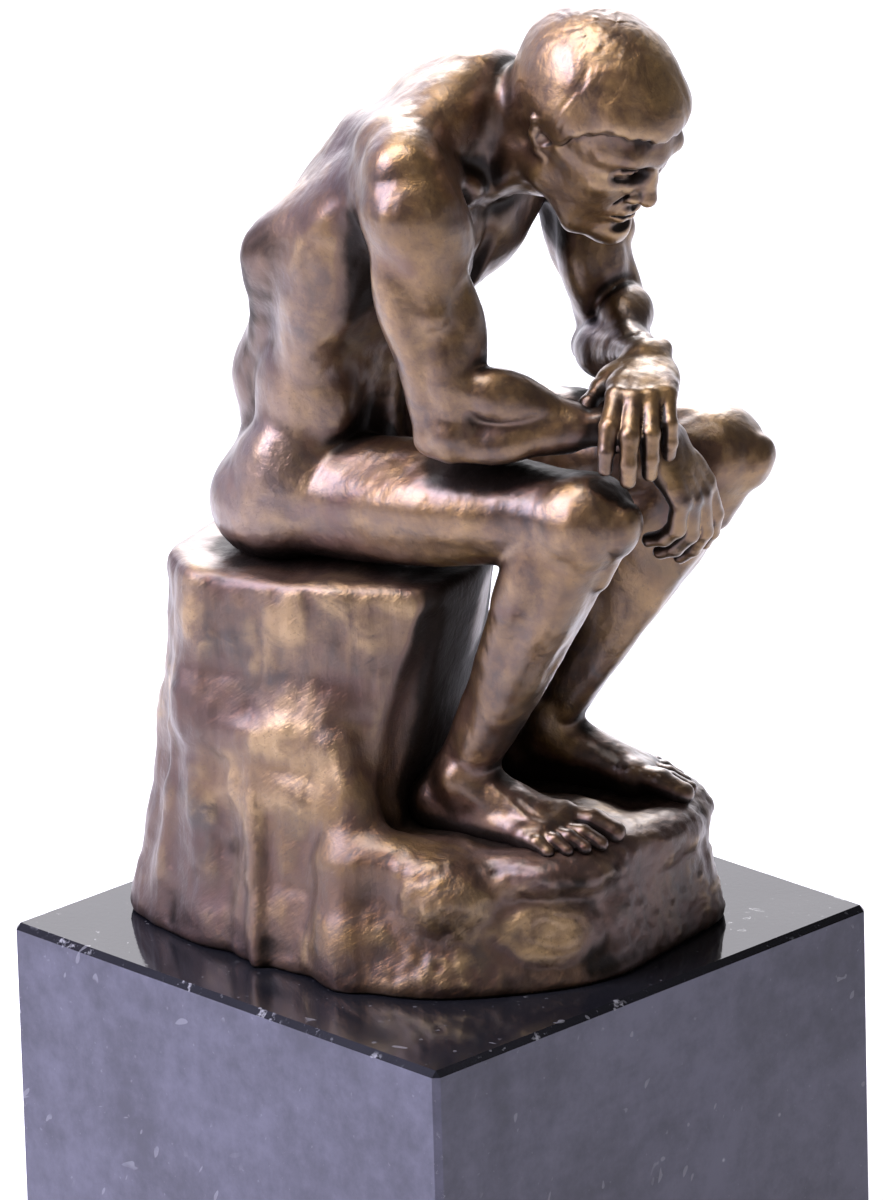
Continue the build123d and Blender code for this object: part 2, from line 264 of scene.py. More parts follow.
def surface(D, grid):
    """Quads of the zero surface (naive surface nets), outward facing."""
    inside = D < 0
    c = [inside[:-1, :-1, :-1], inside[1:, :-1, :-1], inside[:-1, 1:, :-1], inside[1:, 1:, :-1],
         inside[:-1, :-1, 1:], inside[1:, :-1, 1:], inside[:-1, 1:, 1:], inside[1:, 1:, 1:]]
    count = sum(x.astype(np.uint8) for x in c)
    active = (count > 0) & (count < 8)
    cell = np.argwhere(active)
    index = np.full(active.shape, -1, np.int32)
    index[active] = np.arange(len(cell), dtype=np.int32)
    offs = np.array([(0, 0, 0), (1, 0, 0), (0, 1, 0), (1, 1, 0), (0, 0, 1), (1, 0, 1), (0, 1, 1), (1, 1, 1)])
    val = np.stack([D[cell[:, 0] + o[0], cell[:, 1] + o[1], cell[:, 2] + o[2]] for o in offs], 1)
    total, n = np.zeros((len(cell), 3), np.float32), np.zeros(len(cell), np.float32)
    for i, j in ((0, 1), (2, 3), (4, 5), (6, 7), (0, 2), (1, 3), (4, 6), (5, 7), (0, 4), (1, 5), (2, 6), (3, 7)):
        a, b = val[:, i], val[:, j]
        cross = (a < 0) != (b < 0)
        t = np.where(cross, a / np.where(cross, a - b, 1), 0)
        pt = offs[i] + t[:, None] * (offs[j] - offs[i])
        total += np.where(cross[:, None], pt, 0)
        n += cross
    verts = grid.lo + (cell + total / n[:, None]) * grid.h
    quads = []
    for ax in range(3):
        o1, o2 = [(1, 2), (2, 0), (0, 1)][ax]
        a = inside
        s0, s1 = [slice(None)] * 3, [slice(None)] * 3
        s0[ax], s1[ax] = slice(None, -1), slice(1, None)
        lo_in, hi_in = a[tuple(s0)], a[tuple(s1)]
        e = np.argwhere(lo_in != hi_in)
        keep = (e[:, o1] > 0) & (e[:, o2] > 0) & (e[:, o1] < grid.n[o1] - 1) & (e[:, o2] < grid.n[o2] - 1)
        e = e[keep]
        flip = ~lo_in[e[:, 0], e[:, 1], e[:, 2]]

        def at(d1, d2):
            q = e.copy()
            q[:, o1] -= d1
            q[:, o2] -= d2
            return index[q[:, 0], q[:, 1], q[:, 2]]

        q = np.stack([at(1, 1), at(0, 1), at(0, 0), at(1, 0)], 1)
        q[flip] = q[flip][:, ::-1]
        quads.append(q)
    return verts, np.concatenate(quads)


def largest(verts, quads):
    """Keeps the largest connected part."""
    label = np.arange(len(verts))
    a = quads[:, [0, 1, 2, 3]].ravel()
    b = quads[:, [1, 2, 3, 0]].ravel()
    for _ in range(4000):
        m = np.minimum(label[a], label[b])
        new = label.copy()
        np.minimum.at(new, a, m)
        np.minimum.at(new, b, m)
        new = new[new]
        if np.array_equal(new, label):
            break
        label = new
    ids, counts = np.unique(label, return_counts=True)
    keep = label == ids[np.argmax(counts)]
    remap = np.cumsum(keep) - 1
    q = quads[keep[quads[:, 0]]]
    return verts[keep], remap[q]


def relax(verts, quads, amount=0.5, times=1):
    for _ in range(times):
        acc = np.zeros_like(verts)
        n = np.zeros(len(verts))
        for i in range(4):
            for j in (1, 3):
                np.add.at(acc, quads[:, i], verts[quads[:, (i + j) % 4]])
                np.add.at(n, quads[:, i], 1)
        verts = verts + amount * (acc / np.maximum(n, 1)[:, None] - verts)
    return verts


def slope(detail, v, g):
    """Direction that the finished surface faces: the field's own, less the slope of the touch laid on it."""
    across = np.cross(np.where(np.abs(g[:, 2:3]) < 0.8, [[0.0, 0.0, 1.0]], [[1.0, 0.0, 0.0]]), g)
    across /= np.linalg.norm(across, axis=1, keepdims=True) + 1e-9
    out = g.astype(float)
    for t in (across, np.cross(g, across)):
        out = out - t * ((detail(v + t * 0.14, g) - detail(v - t * 0.14, g)) / 0.28)[:, None]
    return out / (np.linalg.norm(out, axis=1, keepdims=True) + 1e-9)


def build(name, D, grid, node, detail=None, whole=None, cuts=(), smooth=1, stain_and_shade=None):
    """Makes one piece from a field, with how far each point is shut in (patina in its own hollows, painted shade where
    other parts crowd it) and how far it stands on a ridge stored on it.
    """
    verts, quads = surface(D, grid)
    verts, quads = largest(verts, quads)
    for _ in range(smooth):
        verts = relax(verts, quads, 0.5)
        g = gradient(D, grid, verts)
        verts = verts - g * np.clip(sample(D, grid, verts), -grid.h, grid.h)[:, None]
    own = D if whole is None else whole
    capped, flat = np.zeros(len(verts), bool), np.zeros(len(quads), bool)
    for c in cuts:
        # the corner at the joint comes out to the full surface, so that the two sides of a joint are level
        near, off = sample(c, grid, verts), sample(own, grid, verts)
        rim = np.flatnonzero((near < 0.62 * grid.h) & (np.abs(off) < 0.62 * grid.h))
        for _ in range(3):
            verts[rim] = onto(c, grid, verts[rim])
            verts[rim] = onto(own, grid, verts[rim])
        capped |= sample(c, grid, verts) < 0.3 * grid.h
        mid = verts[quads].mean(1)
        n = np.cross(verts[quads[:, 2]] - verts[quads[:, 0]], verts[quads[:, 3]] - verts[quads[:, 1]])
        n /= np.linalg.norm(n, axis=1, keepdims=True) + 1e-9
        flat |= ((n * gradient(c, grid, mid)).sum(1) < -0.6) & (sample(c, grid, mid) < 0.8 * grid.h)
    g = gradient(own, grid, verts)
    capped &= sample(own, grid, verts) < -0.3 * grid.h
    g[capped] = gradient(D, grid, verts[capped])
    facing = slope(detail, verts, g) if whole is not None else None
    if detail is not None:
        verts = verts + g * detail(verts, g)[:, None]
    g = gradient(own, grid, verts)
    occl = np.zeros(len(verts), np.float32)
    near = (0.8, 1.6) if grid.h < 0.7 * COARSE else (1.5, 2.5)
    # how far each point is shut in: close by, by its own hollows, where patina settles; further out, by the whole
    # statue, which is painted shade where the parts crowd each other
    for field, where, d in [(own, grid, d) for d in near] + [(STATUE, STATUE_GRID, d) for d in (3.5, 7.0, 12.0)]:
        occl += np.clip(1 - sample(field, where, verts + g * d) / d, -1, 1) / 5
    # the caller's extra darkening: on the rock, painted shade along its foot and behind the calves
    if stain_and_shade is not None:
        occl += stain_and_shade(verts, g)
    ridge = np.zeros(len(verts), np.float32)
    for d in (0.7, 1.4, 2.4):
        ridge += np.clip(1 + sample(own, grid, verts - g * d) / d, -1, 1) / 3
    row = to_row(verts).astype(np.float32)
    mesh = bpy.data.meshes.new(name)
    mesh.vertices.add(len(row))
    mesh.vertices.foreach_set("co", row.ravel())
    mesh.loops.add(len(quads) * 4)
    mesh.loops.foreach_set("vertex_index", quads.astype(np.int32).ravel())
    mesh.polygons.add(len(quads))
    mesh.polygons.foreach_set("loop_start", np.arange(0, len(quads) * 4, 4, dtype=np.int32))
    mesh.polygons.foreach_set("loop_total", np.full(len(quads), 4, np.int32))
    mesh.polygons.foreach_set("use_smooth", ~flat)
    mesh.update(calc_edges=True)
    mesh.validate()
    if facing is not None:
        corner, smooth_face = np.empty(len(mesh.loops), np.int32), np.empty(len(mesh.polygons), bool)
        mesh.loops.foreach_get("vertex_index", corner)
        mesh.polygons.foreach_get("use_smooth", smooth_face)
        n = to_row(verts + facing) - to_row(verts)
        n = (n / np.linalg.norm(n, axis=1, keepdims=True))[corner]
        n[np.repeat(~smooth_face, 4)] = 0
        mesh.normals_split_custom_set(n.astype(np.float32))
    for key, values in (("hollow_and_shade", occl), ("ridge", ridge)):
        at = mesh.attributes.new(key, "FLOAT", "POINT")
        at.data.foreach_set("value", values.astype(np.float32))
    ob = bpy.data.objects.new(name, mesh)
    bpy.context.scene.collection.objects.link(ob)
    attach(ob, "root")
    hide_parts(node)
    return ob


# ------------------------------------------------------------------ the figure's skeleton (units, facing -Y)
R_, L_ = -1, 1
HIP = {R_: V(-15, 35, 83), L_: V(15, 28, 84)}
KNEE = {R_: V(-24, -34, 88), L_: V(23, -43, 89)}
ANKLE = {R_: V(-20, -3, 26.5), L_: V(14, -6.5, 26.5)}
SHOULDER = {R_: V(-31, 2, 159), L_: V(30, -7, 156)}
ELBOW = {R_: V(-30.5, -7, 106), L_: V(30, -15, 107)}
WRIST = {R_: V(-13, -45.5, 106.5), L_: V(-0.5, -37.5, 116.5)}
SOLE = 13.5
FOOT_TURN = {R_: 4, L_: 5}    # how far each foot points outward, degrees
SEAT_U = (76.2 - FIG_UP) / FIG_SCALE
SPINE_H = np.array([-14, 0, 15, 33, 53, 72, 88, 100], float)
SPINE_P = np.array([(0, 33, 66), (0, 34, 80), (0, 35.0, 95), (0, 32, 112.5), (0, 24.5, 131), (0, 13.5, 146.5), (0, 2, 158), (0, -7, 165.5)], float)
TWIST = -8.0    # the shoulders are turned this far against the hips, degrees


def spine_at(h):
    """Point and tangent of the body's axis (a cubic through the listed points)."""
    hs, pn = SPINE_H, SPINE_P
    i = int(np.clip(np.searchsorted(hs, h) - 1, 0, len(hs) - 2))
    m = np.gradient(pn, hs, axis=0)
    dh = hs[i + 1] - hs[i]
    t = (h - hs[i]) / dh
    a, b = 2 * t**3 - 3 * t**2 + 1, t**3 - 2 * t**2 + t
    c, d = -2 * t**3 + 3 * t**2, t**3 - t**2
    pos = a * pn[i] + b * dh * m[i] + c * pn[i + 1] + d * dh * m[i + 1]
    return pos, unit(mix(m[i], m[i + 1], np.clip(t, 0, 1)))


def spin(R, angle, ax):
    c, s = math.cos(math.radians(angle)), math.sin(math.radians(angle))
    i, j = [(1, 2), (2, 0), (0, 1)][ax]
    M = np.eye(3)
    M[i, i], M[i, j], M[j, i], M[j, j] = c, -s, s, c
    return R @ M


def trunk_axes(h, turn=0.0, lean=0.0, roll=0.0):
    """Axes (left, front, up) of the trunk at h, turned about up, leaned about left, rolled about front."""
    _, tan = spine_at(h)
    # left, front and up are right-handed as (left, back, up), so the front column is the negated back
    B = np.stack([V(1, 0, 0), V(0, tan[2], -tan[1]), tan], 1)
    w = float(np.clip((h - 10) / 70, 0, 1))
    B = spin(B, TWIST * w * w * (3 - 2 * w) + turn, 2)
    if lean:
        B = spin(B, lean, 0)
    if roll:
        B = spin(B, roll, 1)
    return np.stack([B[:, 0], -B[:, 1], B[:, 2]], 1)


def T(x, a, h):
    """A point of the trunk: x to the figure's left, a to its front, h along the spine."""
    R = trunk_axes(h)
    return spine_at(h)[0] + R[:, 0] * x + R[:, 1] * a


# ------------------------------------------------------------------ trunk
def girdle(s):
    """Places points about the shoulder joint: outward, to the front, up the trunk."""
    h, a = (89.0, 4.0) if s == R_ else (93.0, 3.0)
    return lambda x, f, u: T((31 + x) * s, a + f, h + u)


def trunk():
    p = []
    front = lambda h: trunk_axes(h)[:, 1]
    p.append(egg(T(0, 0.0, 60), (27.0, 18.5, 29.5), trunk_axes(60), k=4))
    p.append(egg(T(0, 0.5, 31), (22.8, 15.4, 24), trunk_axes(31), k=8))
    p.append(egg(T(0, -0.5, 6), (25.5, 17.0, 18), trunk_axes(6), k=8))
    p.append(egg(T(0, -4.0, 84), (27, 12.5, 14), trunk_axes(84), k=9))
    for s in (R_, L_):
        sh = girdle(s)
        # chest, in two heads
        p.append(spindle(T(4.5 * s, 15.0, 65), sh(-6, 5.5, -12), 8.6, 10.6, 7.0, 0.4, n=front(68), s=0.68, k=2.8))
        p.append(spindle(T(5 * s, 13.0, 75), sh(-5, 2.5, -6), 6.0, 7.6, 6.0, 0.5, n=front(76), s=0.64, k=3.2))
        # broad back muscle: from the loin round the ribs into the armpit
        side = trunk_axes(46, turn=34 * s)[:, 1]
        p.append(spindle(T(6 * s, -12.5, 17), T(18.5 * s, -11.0, 52), 3.0, 6.6, 8.4, 0.55, n=side, s=0.62, k=6.5))
        p.append(spindle(T(18.5 * s, -11.0, 52), sh(-6, -4, -15), 8.4, 8.2, 5.6, 0.5, n=side, s=0.72, k=6.5))
        p.append(spindle(T(25.5 * s, -1, 66), T(19 * s, -1, 22), 5.0, 7.6, 3.4, 0.36, k=6.5))
        # shoulder blade with its muscles, running out to the joint
        back = trunk_axes(66, turn=-16 * s)[:, 1]
        p.append(spindle(T(9.5 * s, -14.4, 64), sh(-7, -8.5, -4), 6.4, 8.0, 5.2, 0.42, n=back, s=0.60, k=5.5))
        p.append(spindle(T(14 * s, -14.6, 55), sh(-6, -6.5, -11), 4.0, 6.0, 4.4, 0.5, n=back, s=0.74, k=5.5))
        p.append(spindle(T(9.0 * s, -15.4, 77), sh(-6, -10.0, -1), 2.6, 3.8, 3.6, 0.5, k=5.0))
        # trapezius: from the neck to the tip of the shoulder, across to the blade, and down to a point
        p.append(spindle(T(4.0 * s, -8.0, 98), sh(-4.5, -6.0, 3), 8.0, 7.6, 4.8, 0.4, k=7.5))
        p.append(spindle(T(2.4 * s, -13.6, 87), sh(-10, -9.5, -2), 6.0, 5.6, 3.4, 0.4, n=back, s=0.72, k=6.5))
        p.append(spindle(T(1.4 * s, -16.2, 42), T(9.5 * s, -15.6, 74), 1.4, 4.0, 3.8, 0.62, n=back, s=0.75, k=7.5))
        # erector of the spine
        p += chain([T(6.4 * s, -11.4, -2), T(6.0 * s, -12.8, 24), T(5.4 * s, -14.2, 46), T(4.4 * s, -14.4, 64)], [4.2, 6.2, 4.6, 2.0], k=7.0)
        # flank and the slips over the ribs
        p.append(egg(T(18.2 * s, 1.5, 25), (6.8, 11.6, 12), trunk_axes(25), k=3.6))
        for x, a, h in ((24.0, 6.0, 58), (23.2, 6.4, 49)):
            p.append(spindle(T(x * s, a, h), T((x + 0.6) * s, a - 12.0, h + 5.0), 1.4, 2.9, 1.2, 0.5, n=trunk_axes(h, turn=-60 * s)[:, 1], s=0.7, k=5.5))
        # belly columns
        for h0, h1, a in ((46.5, 53, 14.8), (36.5, 43, 14.4), (26.5, 33, 14.2), (10, 23, 14.4)):
            p.append(spindle(T(5.2 * s, a - 1.0, h0), T(5.4 * s, a - 1.0, h1), 4.2, 4.9, 4.2, 0.5, n=front((h0 + h1) / 2), s=0.74, k=1.8))
        # collar bone
        p += chain([T(3.0 * s, 10.0, 87.5), T(12 * s, 9.2, 89.5), mix(T(12 * s, 9.2, 89.5), sh(-5, -2.0, 2.5), 0.5) + V(0, 0, 0.4), sh(-5, -2.0, 2.5)], [2.0, 1.8, 1.8, 2.0], k=4.0)
        # buttock, hip
        p.append(egg(HIP[s] + V(-1.0 * s, 7.5, -3.0), (14.8, 14.0, 13.5), k=5))
        p.append(egg(HIP[s] + V(4.5 * s, 1.5, 7.0), (9.0, 11.0, 10.0), k=5))
    # furrows of the spine, breastbone and belly, navel, hollow of the throat
    p += chain([T(0, -17.4, -2), T(0, -19.2, 20), T(0, -20.6, 42), T(0, -21.4, 60), T(0, -22.6, 74), T(0, -24.6, 88)], [0.4, 1.5, 1.7, 1.4, 0.9, 0.3], k=4.8, op="cut")
    p.append(cap(T(0, 20.0, 58), T(0, 16.6, 82), 1.1, 1.0, k=3.2, op="cut"))
    p.append(cap(T(0, 16.6, 26), T(0, 17.4, 54), 0.5, 0.9, k=2.0, op="cut"))
    p.append(egg(T(0, 15.8, 24.8), (1.4, 2.2, 1.1), trunk_axes(25), k=1.2, op="cut"))
    return p


# ------------------------------------------------------------------ head, in its own axes: x to its left, f forward, u up
HS = 1.13
HEAD_C = V(-1.2, -28.6, 167.0)
_bow, _turn, _tilt = math.radians(33), math.radians(-15), math.radians(5)
_f0 = V(math.sin(_turn) * math.cos(_bow), -math.cos(_turn) * math.cos(_bow), -math.sin(_bow))
_x0 = -unit(np.cross(_f0, V(0, 0, 1)))
_u0 = np.cross(_x0, -_f0)
_x1 = _x0 * math.cos(_tilt) + _u0 * math.sin(_tilt)
_u1 = -_x0 * math.sin(_tilt) + _u0 * math.cos(_tilt)
HEAD_R = np.stack([_x1, _f0, _u1], 1)


def H(x, f, u):
    return HEAD_C + HEAD_R @ (V(x, f, u) * HS)


def hegg(c, r, k=2.0, op="add", pitch=0.0, yaw=0.0, roll=0.0):
    M = np.eye(3)
    for angle, ax in ((yaw, 2), (pitch, 0), (roll, 1)):
        if angle:
            M = spin(M, angle, ax)
    return egg(H(*c), tuple(v * HS for v in r), HEAD_R @ M, k=k * HS, op=op)


def hchain(points, radii, k=1.0, op="add"):
    return chain([H(*q) for q in points], [r * HS for r in radii], k * HS, op)


def head():
    p = []
    p.append(hegg((0, -2.5, 5.0), (12.0, 15.6, 13.6), k=3))
    p.append(hegg((0, 4.2, 0.5), (10.2, 10.4, 11.5), k=5))
    p.append(hegg((0, 5.8, -8.0), (8.4, 7.4, 10.6), k=4))
    for s in (R_, L_):
        p += hchain([(9.8 * s, -2.5, -3), (9.0 * s, -0.6, -10.2), (5.2 * s, 7.2, -15.9), (0, 10.8, -17.0)], [2.8, 2.7, 2.7, 3.0], k=3.0)
        p.append(hegg((7.3 * s, 8.3, -3.4), (2.9, 3.4, 2.3), k=3.0, yaw=-24 * s))
        p += hchain([(7.8 * s, 7.8, -3.0), (11.0 * s, 1.0, -1.2)], [1.5, 1.1], k=2.5)
    p.append(hegg((0, 11.2, -16.6), (3.7, 2.9, 2.9), k=2.5))
    for s in (R_, L_):
        p.append(hegg((5.6 * s, 5.8, -8.6), (3.9, 4.6, 5.6), k=4.0))
        p.append(hegg((8.2 * s, 1.0, -6.4), (2.6, 4.6, 5.0), k=3.5))
    # brow
    p += hchain([(-8.8, 8.4, 3.4), (-5.0, 12.1, 4.5), (0, 12.9, 4.0), (5.0, 12.1, 4.5), (8.8, 8.4, 3.4)], [1.3, 1.65, 1.5, 1.65, 1.3], k=2.5)
    # sockets, eyes with lowered lids
    for s in (R_, L_):
        p.append(hegg((4.5 * s, 13.6, 0.4), (3.4, 3.0, 2.2), k=2.2, op="cut"))
        p.append(hegg((4.5 * s, 9.9, 0.1), (2.8, 2.7, 2.5), k=0.9))
        p += hchain([(1.9 * s, 11.7, 0.0), (3.2 * s, 12.6, 1.0), (4.7 * s, 12.7, 1.3), (6.2 * s, 11.9, 0.9), (7.4 * s, 10.5, -0.2)], [0.35, 0.5, 0.55, 0.5, 0.35], k=0.8)
        p += hchain([(2.0 * s, 12.0, -0.8), (3.4 * s, 12.8, -1.3), (4.8 * s, 12.8, -1.45), (6.2 * s, 12.0, -1.25), (7.3 * s, 10.7, -0.7)], [0.2, 0.28, 0.3, 0.28, 0.2], k=0.5, op="cut")
        p += hchain([(2.4 * s, 11.7, -1.9), (4.7 * s, 12.3, -2.6), (7.0 * s, 10.8, -1.8)], [0.4, 0.5, 0.4], k=0.9)
    # nose
    p += hchain([(0, 12.5, 3.0), (0, 14.0, -1.4), (0, 16.0, -5.0)], [1.35, 1.35, 1.7], k=1.6)
    for s in (R_, L_):
        p.append(hegg((1.85 * s, 13.7, -5.9), (1.3, 1.7, 1.2), k=1.0))
        p.append(hegg((1.1 * s, 14.2, -7.0), (0.5, 0.9, 0.5), k=0.5, op="cut"))
        p += hchain([(2.9 * s, 13.1, -5.3), (4.5 * s, 11.8, -8.8)], [0.25, 0.25], k=1.4, op="cut")
    # mouth
    p.append(hegg((0, 10.2, -10.6), (5.0, 3.5, 3.5), k=2.0))
    p += hchain([(-3.8, 11.8, -10.8), (-1.5, 13.4, -10.1), (0, 13.6, -10.3), (1.5, 13.4, -10.1), (3.8, 11.8, -10.8)], [0.5, 0.85, 0.8, 0.85, 0.5], k=0.9)
    p += hchain([(-3.3, 11.8, -11.8), (-1.2, 13.1, -12.4), (1.2, 13.1, -12.4), (3.3, 11.8, -11.8)], [0.5, 1.0, 1.0, 0.5], k=0.9)
    p += hchain([(-4.2, 12.0, -11.2), (-1.6, 14.1, -11.15), (0, 14.2, -11.3), (1.6, 14.1, -11.15), (4.2, 12.0, -11.2)], [0.22, 0.32, 0.32, 0.32, 0.22], k=0.5, op="cut")
    p.append(hegg((0, 14.0, -14.1), (2.6, 1.1, 0.8), k=1.4, op="cut"))
    p += hchain([(0, 14.2, -7.6), (0, 14.2, -9.2)], [0.3, 0.4], k=0.8, op="cut")
    # ears
    for s in (R_, L_):
        p.append(hegg((11.9 * s, -2.2, -0.8), (1.3, 2.9, 4.5), k=0.9, pitch=-12, yaw=22 * s))
        rim = [(11.9 * s, 0.6, -0.8), (12.7 * s, -0.2, 2.6), (13.3 * s, -2.8, 3.8), (13.6 * s, -5.0, 1.9), (13.1 * s, -4.5, -1.6), (12.1 * s, -2.4, -4.6), (11.7 * s, -0.8, -5.2)]
        p += hchain(rim, [0.6, 0.75, 0.8, 0.8, 0.7, 1.0, 0.8], k=0.7)
        p.append(hegg((13.1 * s, -1.8, -0.2), (1.0, 1.6, 2.5), k=0.6, op="cut", pitch=-12, yaw=22 * s))
    return p


def hair():
    """A short thick cap of hair over the skull, fuller at the brow and over the ears, down to the nape."""
    p = [hegg((0, -2.6, 6.0), (13.9, 17.6, 14.9), k=2.0), hegg((0, -9.4, -2.5), (11.0, 9.6, 10.4), k=4.0)]
    p.append(hegg((0, 7.6, 10.6), (9.6, 6.0, 4.6), k=3.0))
    for s in (R_, L_):
        p.append(hegg((11.2 * s, -0.5, 5.0), (3.0, 6.0, 4.4), k=2.5))
    return p


def neck():
    p = [cap(T(0, -3.5, 90), H(0, -4.5, -8), 12.0, 10.2, k=4.0)]
    p.append(cap(T(0, 1.5, 90), H(0, 1.5, -12.5), 7.5, 6.4, k=4.0))
    for s in (R_, L_):
        p.append(spindle(T(2.8 * s, 9.6, 88), H(8.8 * s, -4.5, -6.0), 1.8, 3.4, 2.6, 0.55, k=2.4))
        p.append(spindle(T(5.5 * s, -8.0, 92), H(5.5 * s, -12, -4.0), 5.5, 5.4, 3.6, 0.5, k=4.0))
    return p


# ------------------------------------------------------------------ arms
def arm_frame(s):
    S, E, W = SHOULDER[s], ELBOW[s], WRIST[s]
    up = unit(S - E)
    flex = unit((W - E) - ((W - E) @ up) * up)      # the side the elbow closes on
    out = unit(np.cross(flex, up))
    if out[0] * s < 0:
        out = -out
    return S, E, W, up, flex, out


def arm(s):
    S, E, W, up, flex, out = arm_frame(s)
    at = lambda t, f=0.0, o=0.0: mix(S, E, t) + flex * f + out * o
    p = [cap(at(0.02), at(1.0), 8.2, 6.0, k=3.0)]
    # deltoid: three heads running into one point on the outer side
    ins = at(0.50, 0.8, 5.6)
    sh = girdle(s)
    p.append(spindle(sh(-7, 2.0, 1.0), ins, 5.2, 8.8, 2.4, 0.46, k=3.4))
    p.append(spindle(at(-0.05, 0, 1.2), ins, 8.2, 10.4, 2.4, 0.36, k=3.4))
    p.append(spindle(sh(-6, -11.0, -3.0), ins, 4.8, 8.4, 2.4, 0.46, k=3.4))
    # biceps, brachialis, triceps
    p.append(spindle(at(0.14, 3.8, -1.2), at(0.96, 3.6, -0.8), 2.6, 7.3, 1.9, 0.58, k=2.0))
    p.append(spindle(at(0.45, 1.2, 4.2), at(1.0, 2.2, 3.2), 2.4, 4.9, 2.6, 0.6, k=2.0))
    p.append(spindle(at(0.14, -4.8, 2.6), at(0.84, -4.2, 2.8), 3.4, 6.2, 2.4, 0.42, k=2.0))
    p.append(spindle(at(0.08, -4.6, -3.2), at(0.84, -4.8, -2.0), 3.6, 6.6, 2.4, 0.5, k=2.0))
    p.append(spindle(at(0.70, -5.0, 0.2), at(1.0, -5.2, 0.0), 3.2, 3.0, 2.6, 0.5, k=2.0))
    # elbow
    p.append(egg(E - flex * 4.8 - up * 1.0, (3.2, 3.2, 3.6), k=2.0))
    p.append(egg(E - out * 5.0, (3.0, 3.0, 3.0), k=2.5))
    p.append(egg(E + out * 4.6, (3.0, 3.0, 3.0), k=2.5))
    # forearm: the thumb side turns from the outer side at the elbow over the top to where the hand has it
    ax = unit(W - E)
    d0, n0, t0 = hand_axes(s)
    e1 = unit(out - (out @ ax) * ax)
    e2 = np.cross(ax, e1)
    if e2 @ up < 0:
        e2 = -e2
    end = math.atan2(t0 @ e2, t0 @ e1)
    end = end + 2 * math.pi if end < -1.0 else end

    def fo(t, a=0.0, b=0.0):
        th = end * np.clip(t, 0, 1)
        thumb = e1 * math.cos(th) + e2 * math.sin(th)
        back = e1 * math.sin(th) - e2 * math.cos(th)
        return mix(E, W, t) + thumb * a + back * b

    wn = unit(np.cross(ax, fo(1, 1, 0) - fo(1, 0, 0)))
    p.append(cap(fo(0.0), fo(0.55), 6.2, 5.4, k=2.5))
    p.append(spindle(fo(0.5), fo(1.0), 5.3, 4.6, 4.5, 0.5, n=wn, s=0.82, k=2.0))
    p.append(spindle(at(0.78, 0.6, 4.8), fo(0.60, 2.4, 0.4), 2.6, 5.9, 2.4, 0.44, k=1.8))
    p.append(spindle(fo(0.0, 3.4, 3.4), fo(0.74, 0.6, 2.4), 2.4, 4.8, 2.0, 0.36, k=1.7))
    p.append(spindle(fo(0.0, -4.6, -1.0), fo(0.76, -1.6, -1.6), 3.0, 6.0, 2.0, 0.34, k=1.8))
    p.append(spindle(fo(0.0, -1.4, -3.6), fo(0.7, 0.8, -2.2), 3.0, 4.6, 2.0, 0.36, k=1.8))
    p.append(spindle(fo(0.02, -2.4, 3.8), fo(0.92, -2.9, 1.2), 2.2, 2.7, 1.6, 0.3, k=1.6))
    p.append(egg(fo(0.965, -3.5, 2.1), (2.0, 2.0, 2.0), k=1.4))
    return p


# ------------------------------------------------------------------ hands
def hand_axes(s):
    """Direction of the palm, palm normal and thumb side at the wrist."""
    if s == R_:   # hangs between the knees, back of the hand forward
        d, n = unit(V(0.22, -0.34, -0.91)), V(0.10, 0.92, -0.34)
    else:         # lies over the right wrist
        d, n = unit(V(-0.90, -0.36, -0.20)), V(-0.20, -0.02, -0.98)
    n = unit(n - (n @ d) * d)
    t = np.cross(d, n) if s == R_ else np.cross(n, d)
    return d, n, t


FINGER = {  # place along the thumb side, reach of the knuckle, three bone lengths, radius at the root
    "index": (5.2, 17.2, (8.2, 5.0, 3.8), 2.25), "middle": (1.7, 18.0, (9.0, 5.7, 4.0), 2.32),
    "ring": (-1.8, 17.1, (8.3, 5.3, 3.9), 2.2), "little": (-5.0, 15.4, (6.6, 4.0, 3.5), 1.98)}
CURL = {R_: {"index": (14, 24, 16), "middle": (22, 30, 18), "ring": (28, 36, 20), "little": (32, 38, 22)},
        L_: {"index": (22, 34, 22), "middle": (28, 38, 24), "ring": (32, 42, 24), "little": (34, 42, 24)}}
SPREAD = {R_: {"index": 6, "middle": 1, "ring": -3, "little": -9}, L_: {"index": 8, "middle": 2, "ring": -4, "little": -11}}


